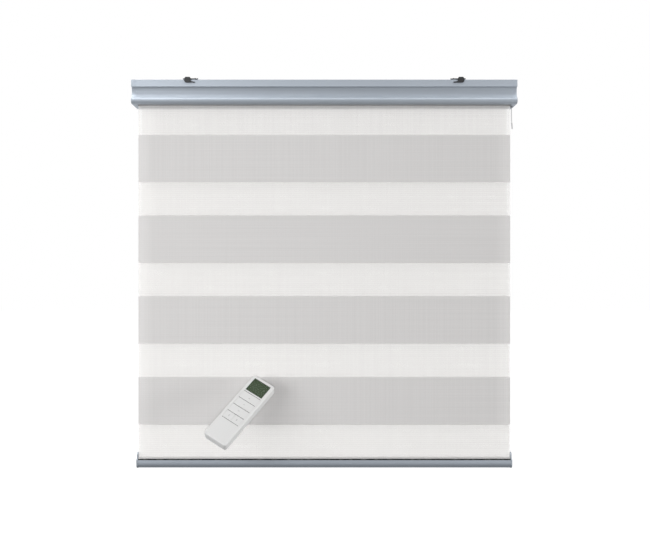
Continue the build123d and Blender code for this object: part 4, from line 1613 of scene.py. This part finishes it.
@dataclass
class Studio:
    """Camera, soft lamps, floor and background."""

    camera_place: Place = (1.5 * MM, -1.817, -0.4212)
    lens: float = 46.55
    floor_drop: float = 0.3
    floor_span: float = 30.0
    floor_colour: float = 0.3
    floor_white: float = 0.86
    daylight: float = 0.36
    card_width: float = 3.4
    card_level: float = -1.05
    boxes: tuple[SoftBox, ...] = (
        SoftBox("left", (-2.2, -2.4, -0.3), (2.0, 1.6), 3.8, glint=False),
        SoftBox("left_glint", (-1.35, -1.9, 0.45), (0.6, 1.0), 7.5),
        SoftBox("left_top_glint", (-0.8, -0.35, 1.3), (0.9, 0.8), 7.0),
        SoftBox("right_glint", (1.9, -1.9, 0.5), (0.6, 1.0), 5.0),
        SoftBox("right_top_glint", (0.8, -0.35, 1.3), (0.7, 0.8), 4.0),
        SoftBox("right_low_glint", (1.15, -1.7, -0.85), (0.5, 0.4), 5.0),
        SoftBox("left_low_glint", (-1.15, -1.7, -0.85), (0.5, 0.4), 2.5),
    )
    daylights: tuple[Daylight, ...] = (
        Daylight("front_daylight", (0.05, -1.0, 0.1), 0.32, 10.0),
        Daylight("right_daylight", (1.0, -0.15, 0.04), 0.8, 30.0),
        Daylight("back_daylight", (-0.4, 0.8, 0.3), 0.6, 30.0),
    )
    cards: tuple[Card, ...] = (
        Card("front_card", -1.0, -2.3, 0.42, rise=1.75),
        Card("low_card", 0.15, -0.4, 0.45),
    )

    def build(self) -> None:
        """Set up the whole studio."""
        self.build_camera()
        self.build_background()
        self.build_floor()
        for box in self.boxes:
            self.hang(box)
        for light in self.daylights:
            self.shine(light)
        for plan in self.cards:
            self.build_card(plan)
        bpy.context.scene.view_settings.view_transform = "Standard"

    def stand(self, name: str, data: bpy.types.ID) -> Piece:
        """Put a camera or a lamp in the scene.

        Args:
            name: Its name.
            data: The camera or lamp.

        Returns:
            Its object.
        """
        made = bpy.data.objects.new(name, data)
        bpy.context.scene.collection.objects.link(made)
        return made

    def build_camera(self) -> None:
        """Stand the camera where the photographer stood."""
        made = bpy.data.cameras.new("camera")
        made.lens = self.lens
        camera = self.stand("camera", made)
        camera.location = self.camera_place
        camera.rotation_euler = UPRIGHT
        bpy.context.scene.camera = camera

    def seen(self, graph: Graph) -> Socket:
        """Find the rays that show the background as white: straight, mirrored or through glass.

        Args:
            graph: The nodes of the background or the floor.

        Returns:
            1 for those rays and 0 for others.
        """
        path = graph.node("LightPath").outputs
        mirrored = graph.math("MAXIMUM", path["Is Camera Ray"], path["Is Glossy Ray"])
        return graph.math("MAXIMUM", mirrored, path["Is Transmission Ray"])

    def build_background(self) -> None:
        """Light the object evenly from a white surround."""
        world = bpy.data.worlds.new("surround")
        bpy.context.scene.world = world
        world.use_nodes = True
        graph = Graph(world.node_tree)
        soft = graph.node("Background", {"Color": grey(1.0), "Strength": self.daylight}).outputs[0]
        white = graph.node("Background", {"Color": grey(1.0), "Strength": 1.0}).outputs[0]
        mixed = graph.node("MixShader", {0: self.seen(graph), 1: soft, 2: white}).outputs[0]
        graph.node("OutputWorld", {"Surface": mixed})

    def material_of(self, piece: Piece, name: str) -> Graph:
        """Give a stage piece a material of its own.

        Args:
            piece: The floor or a card.
            name: The material's name.

        Returns:
            The material's nodes, still empty.
        """
        made = bpy.data.materials.new(name)
        made.use_nodes = True
        piece.data.materials.append(made)
        return Graph(made.node_tree)

    def build_floor(self) -> None:
        """Lay a pale floor that takes a soft shadow."""
        place = (0.0, 0.0, cad_low.z - self.floor_drop)
        floor = Shaper("floor", "plane", (self.floor_span, self.floor_span, 1.0), location=place).finish()
        graph = self.material_of(floor, "pale_floor")
        matt = graph.node("BsdfDiffuse", {"Color": grey(self.floor_colour)}).outputs[0]
        white = {"Color": grey(self.floor_white), "Strength": self.seen(graph)}
        glow = graph.node("Emission", white).outputs[0]
        graph.node("OutputMaterial", {"Surface": graph.node("AddShader", {0: matt, 1: glow}).outputs[0]})

    def shine(self, light: Daylight) -> None:
        """Add even light from far away.

        Args:
            light: The light.
        """
        made = bpy.data.lights.new(light.name, "SUN")
        made.energy = light.level * math.pi
        made.angle = math.radians(light.softness)
        lamp = self.stand(light.name, made)
        lamp.rotation_euler = Vector(light.direction).to_track_quat("Z", "Y").to_euler()
        lamp.visible_glossy = False

    def hang(self, box: SoftBox) -> None:
        """Hang a soft box that faces the object.

        Args:
            box: The soft box.
        """
        made = bpy.data.lights.new(box.name, "AREA")
        made.shape = "RECTANGLE"
        made.size, made.size_y = box.size
        made.energy = box.radiance * math.pi * box.size[0] * box.size[1]
        aim = (cad_low + cad_high) / 2
        lamp = self.stand(box.name, made)
        lamp.location = box.place
        lamp.rotation_euler = (aim - Vector(box.place)).to_track_quat("-Z", "Y").to_euler()
        lamp.visible_diffuse = not box.glint
        lamp.visible_glossy = box.glint

    def build_card(self, plan: Card) -> None:
        """Lay a dark card that only mirrored rays meet.

        Args:
            plan: Where it lies, how bright it is, and how high it stands up at its far edge.
        """
        shape = Shaper(
            plan.name, "plane", (self.card_width, plan.near_y - plan.far_y, 1.0),
            location=(0.0, (plan.near_y + plan.far_y) / 2, self.card_level),
        )
        if plan.rise:
            shape.pick(Kind.EDGE, lambda middle, along: near(middle.y, plan.far_y))
            shape.extrude(0.0, 0.0, plan.rise)
        card = shape.finish()
        graph = self.material_of(card, plan.name)
        dark = graph.node("Emission", {"Color": grey(plan.tone), "Strength": 1.0}).outputs[0]
        graph.node("OutputMaterial", {"Surface": dark})
        for ray in ("camera", "diffuse", "shadow", "transmission"):
            setattr(card, f"visible_{ray}", False)


def main() -> None:
    """Build the blind, piece by piece, and the studio round it."""
    logging.basicConfig(level=logging.INFO, format="%(message)s")
    PAINT.coat_nodes()
    Cassette().build()
    Brackets().build()
    front = Banding(first_top=-120.4 * MM, band=101.0 * MM, pitch=172.8 * MM)
    rear = Banding(first_top=-114.9 * MM, band=102.7 * MM, pitch=175.4 * MM)
    Curtain(front, rear).build()
    BottomBar().build()
    AntennaLead().build()
    RemoteControl().build()
    Studio().build()


if __name__ == "__main__":
    main()
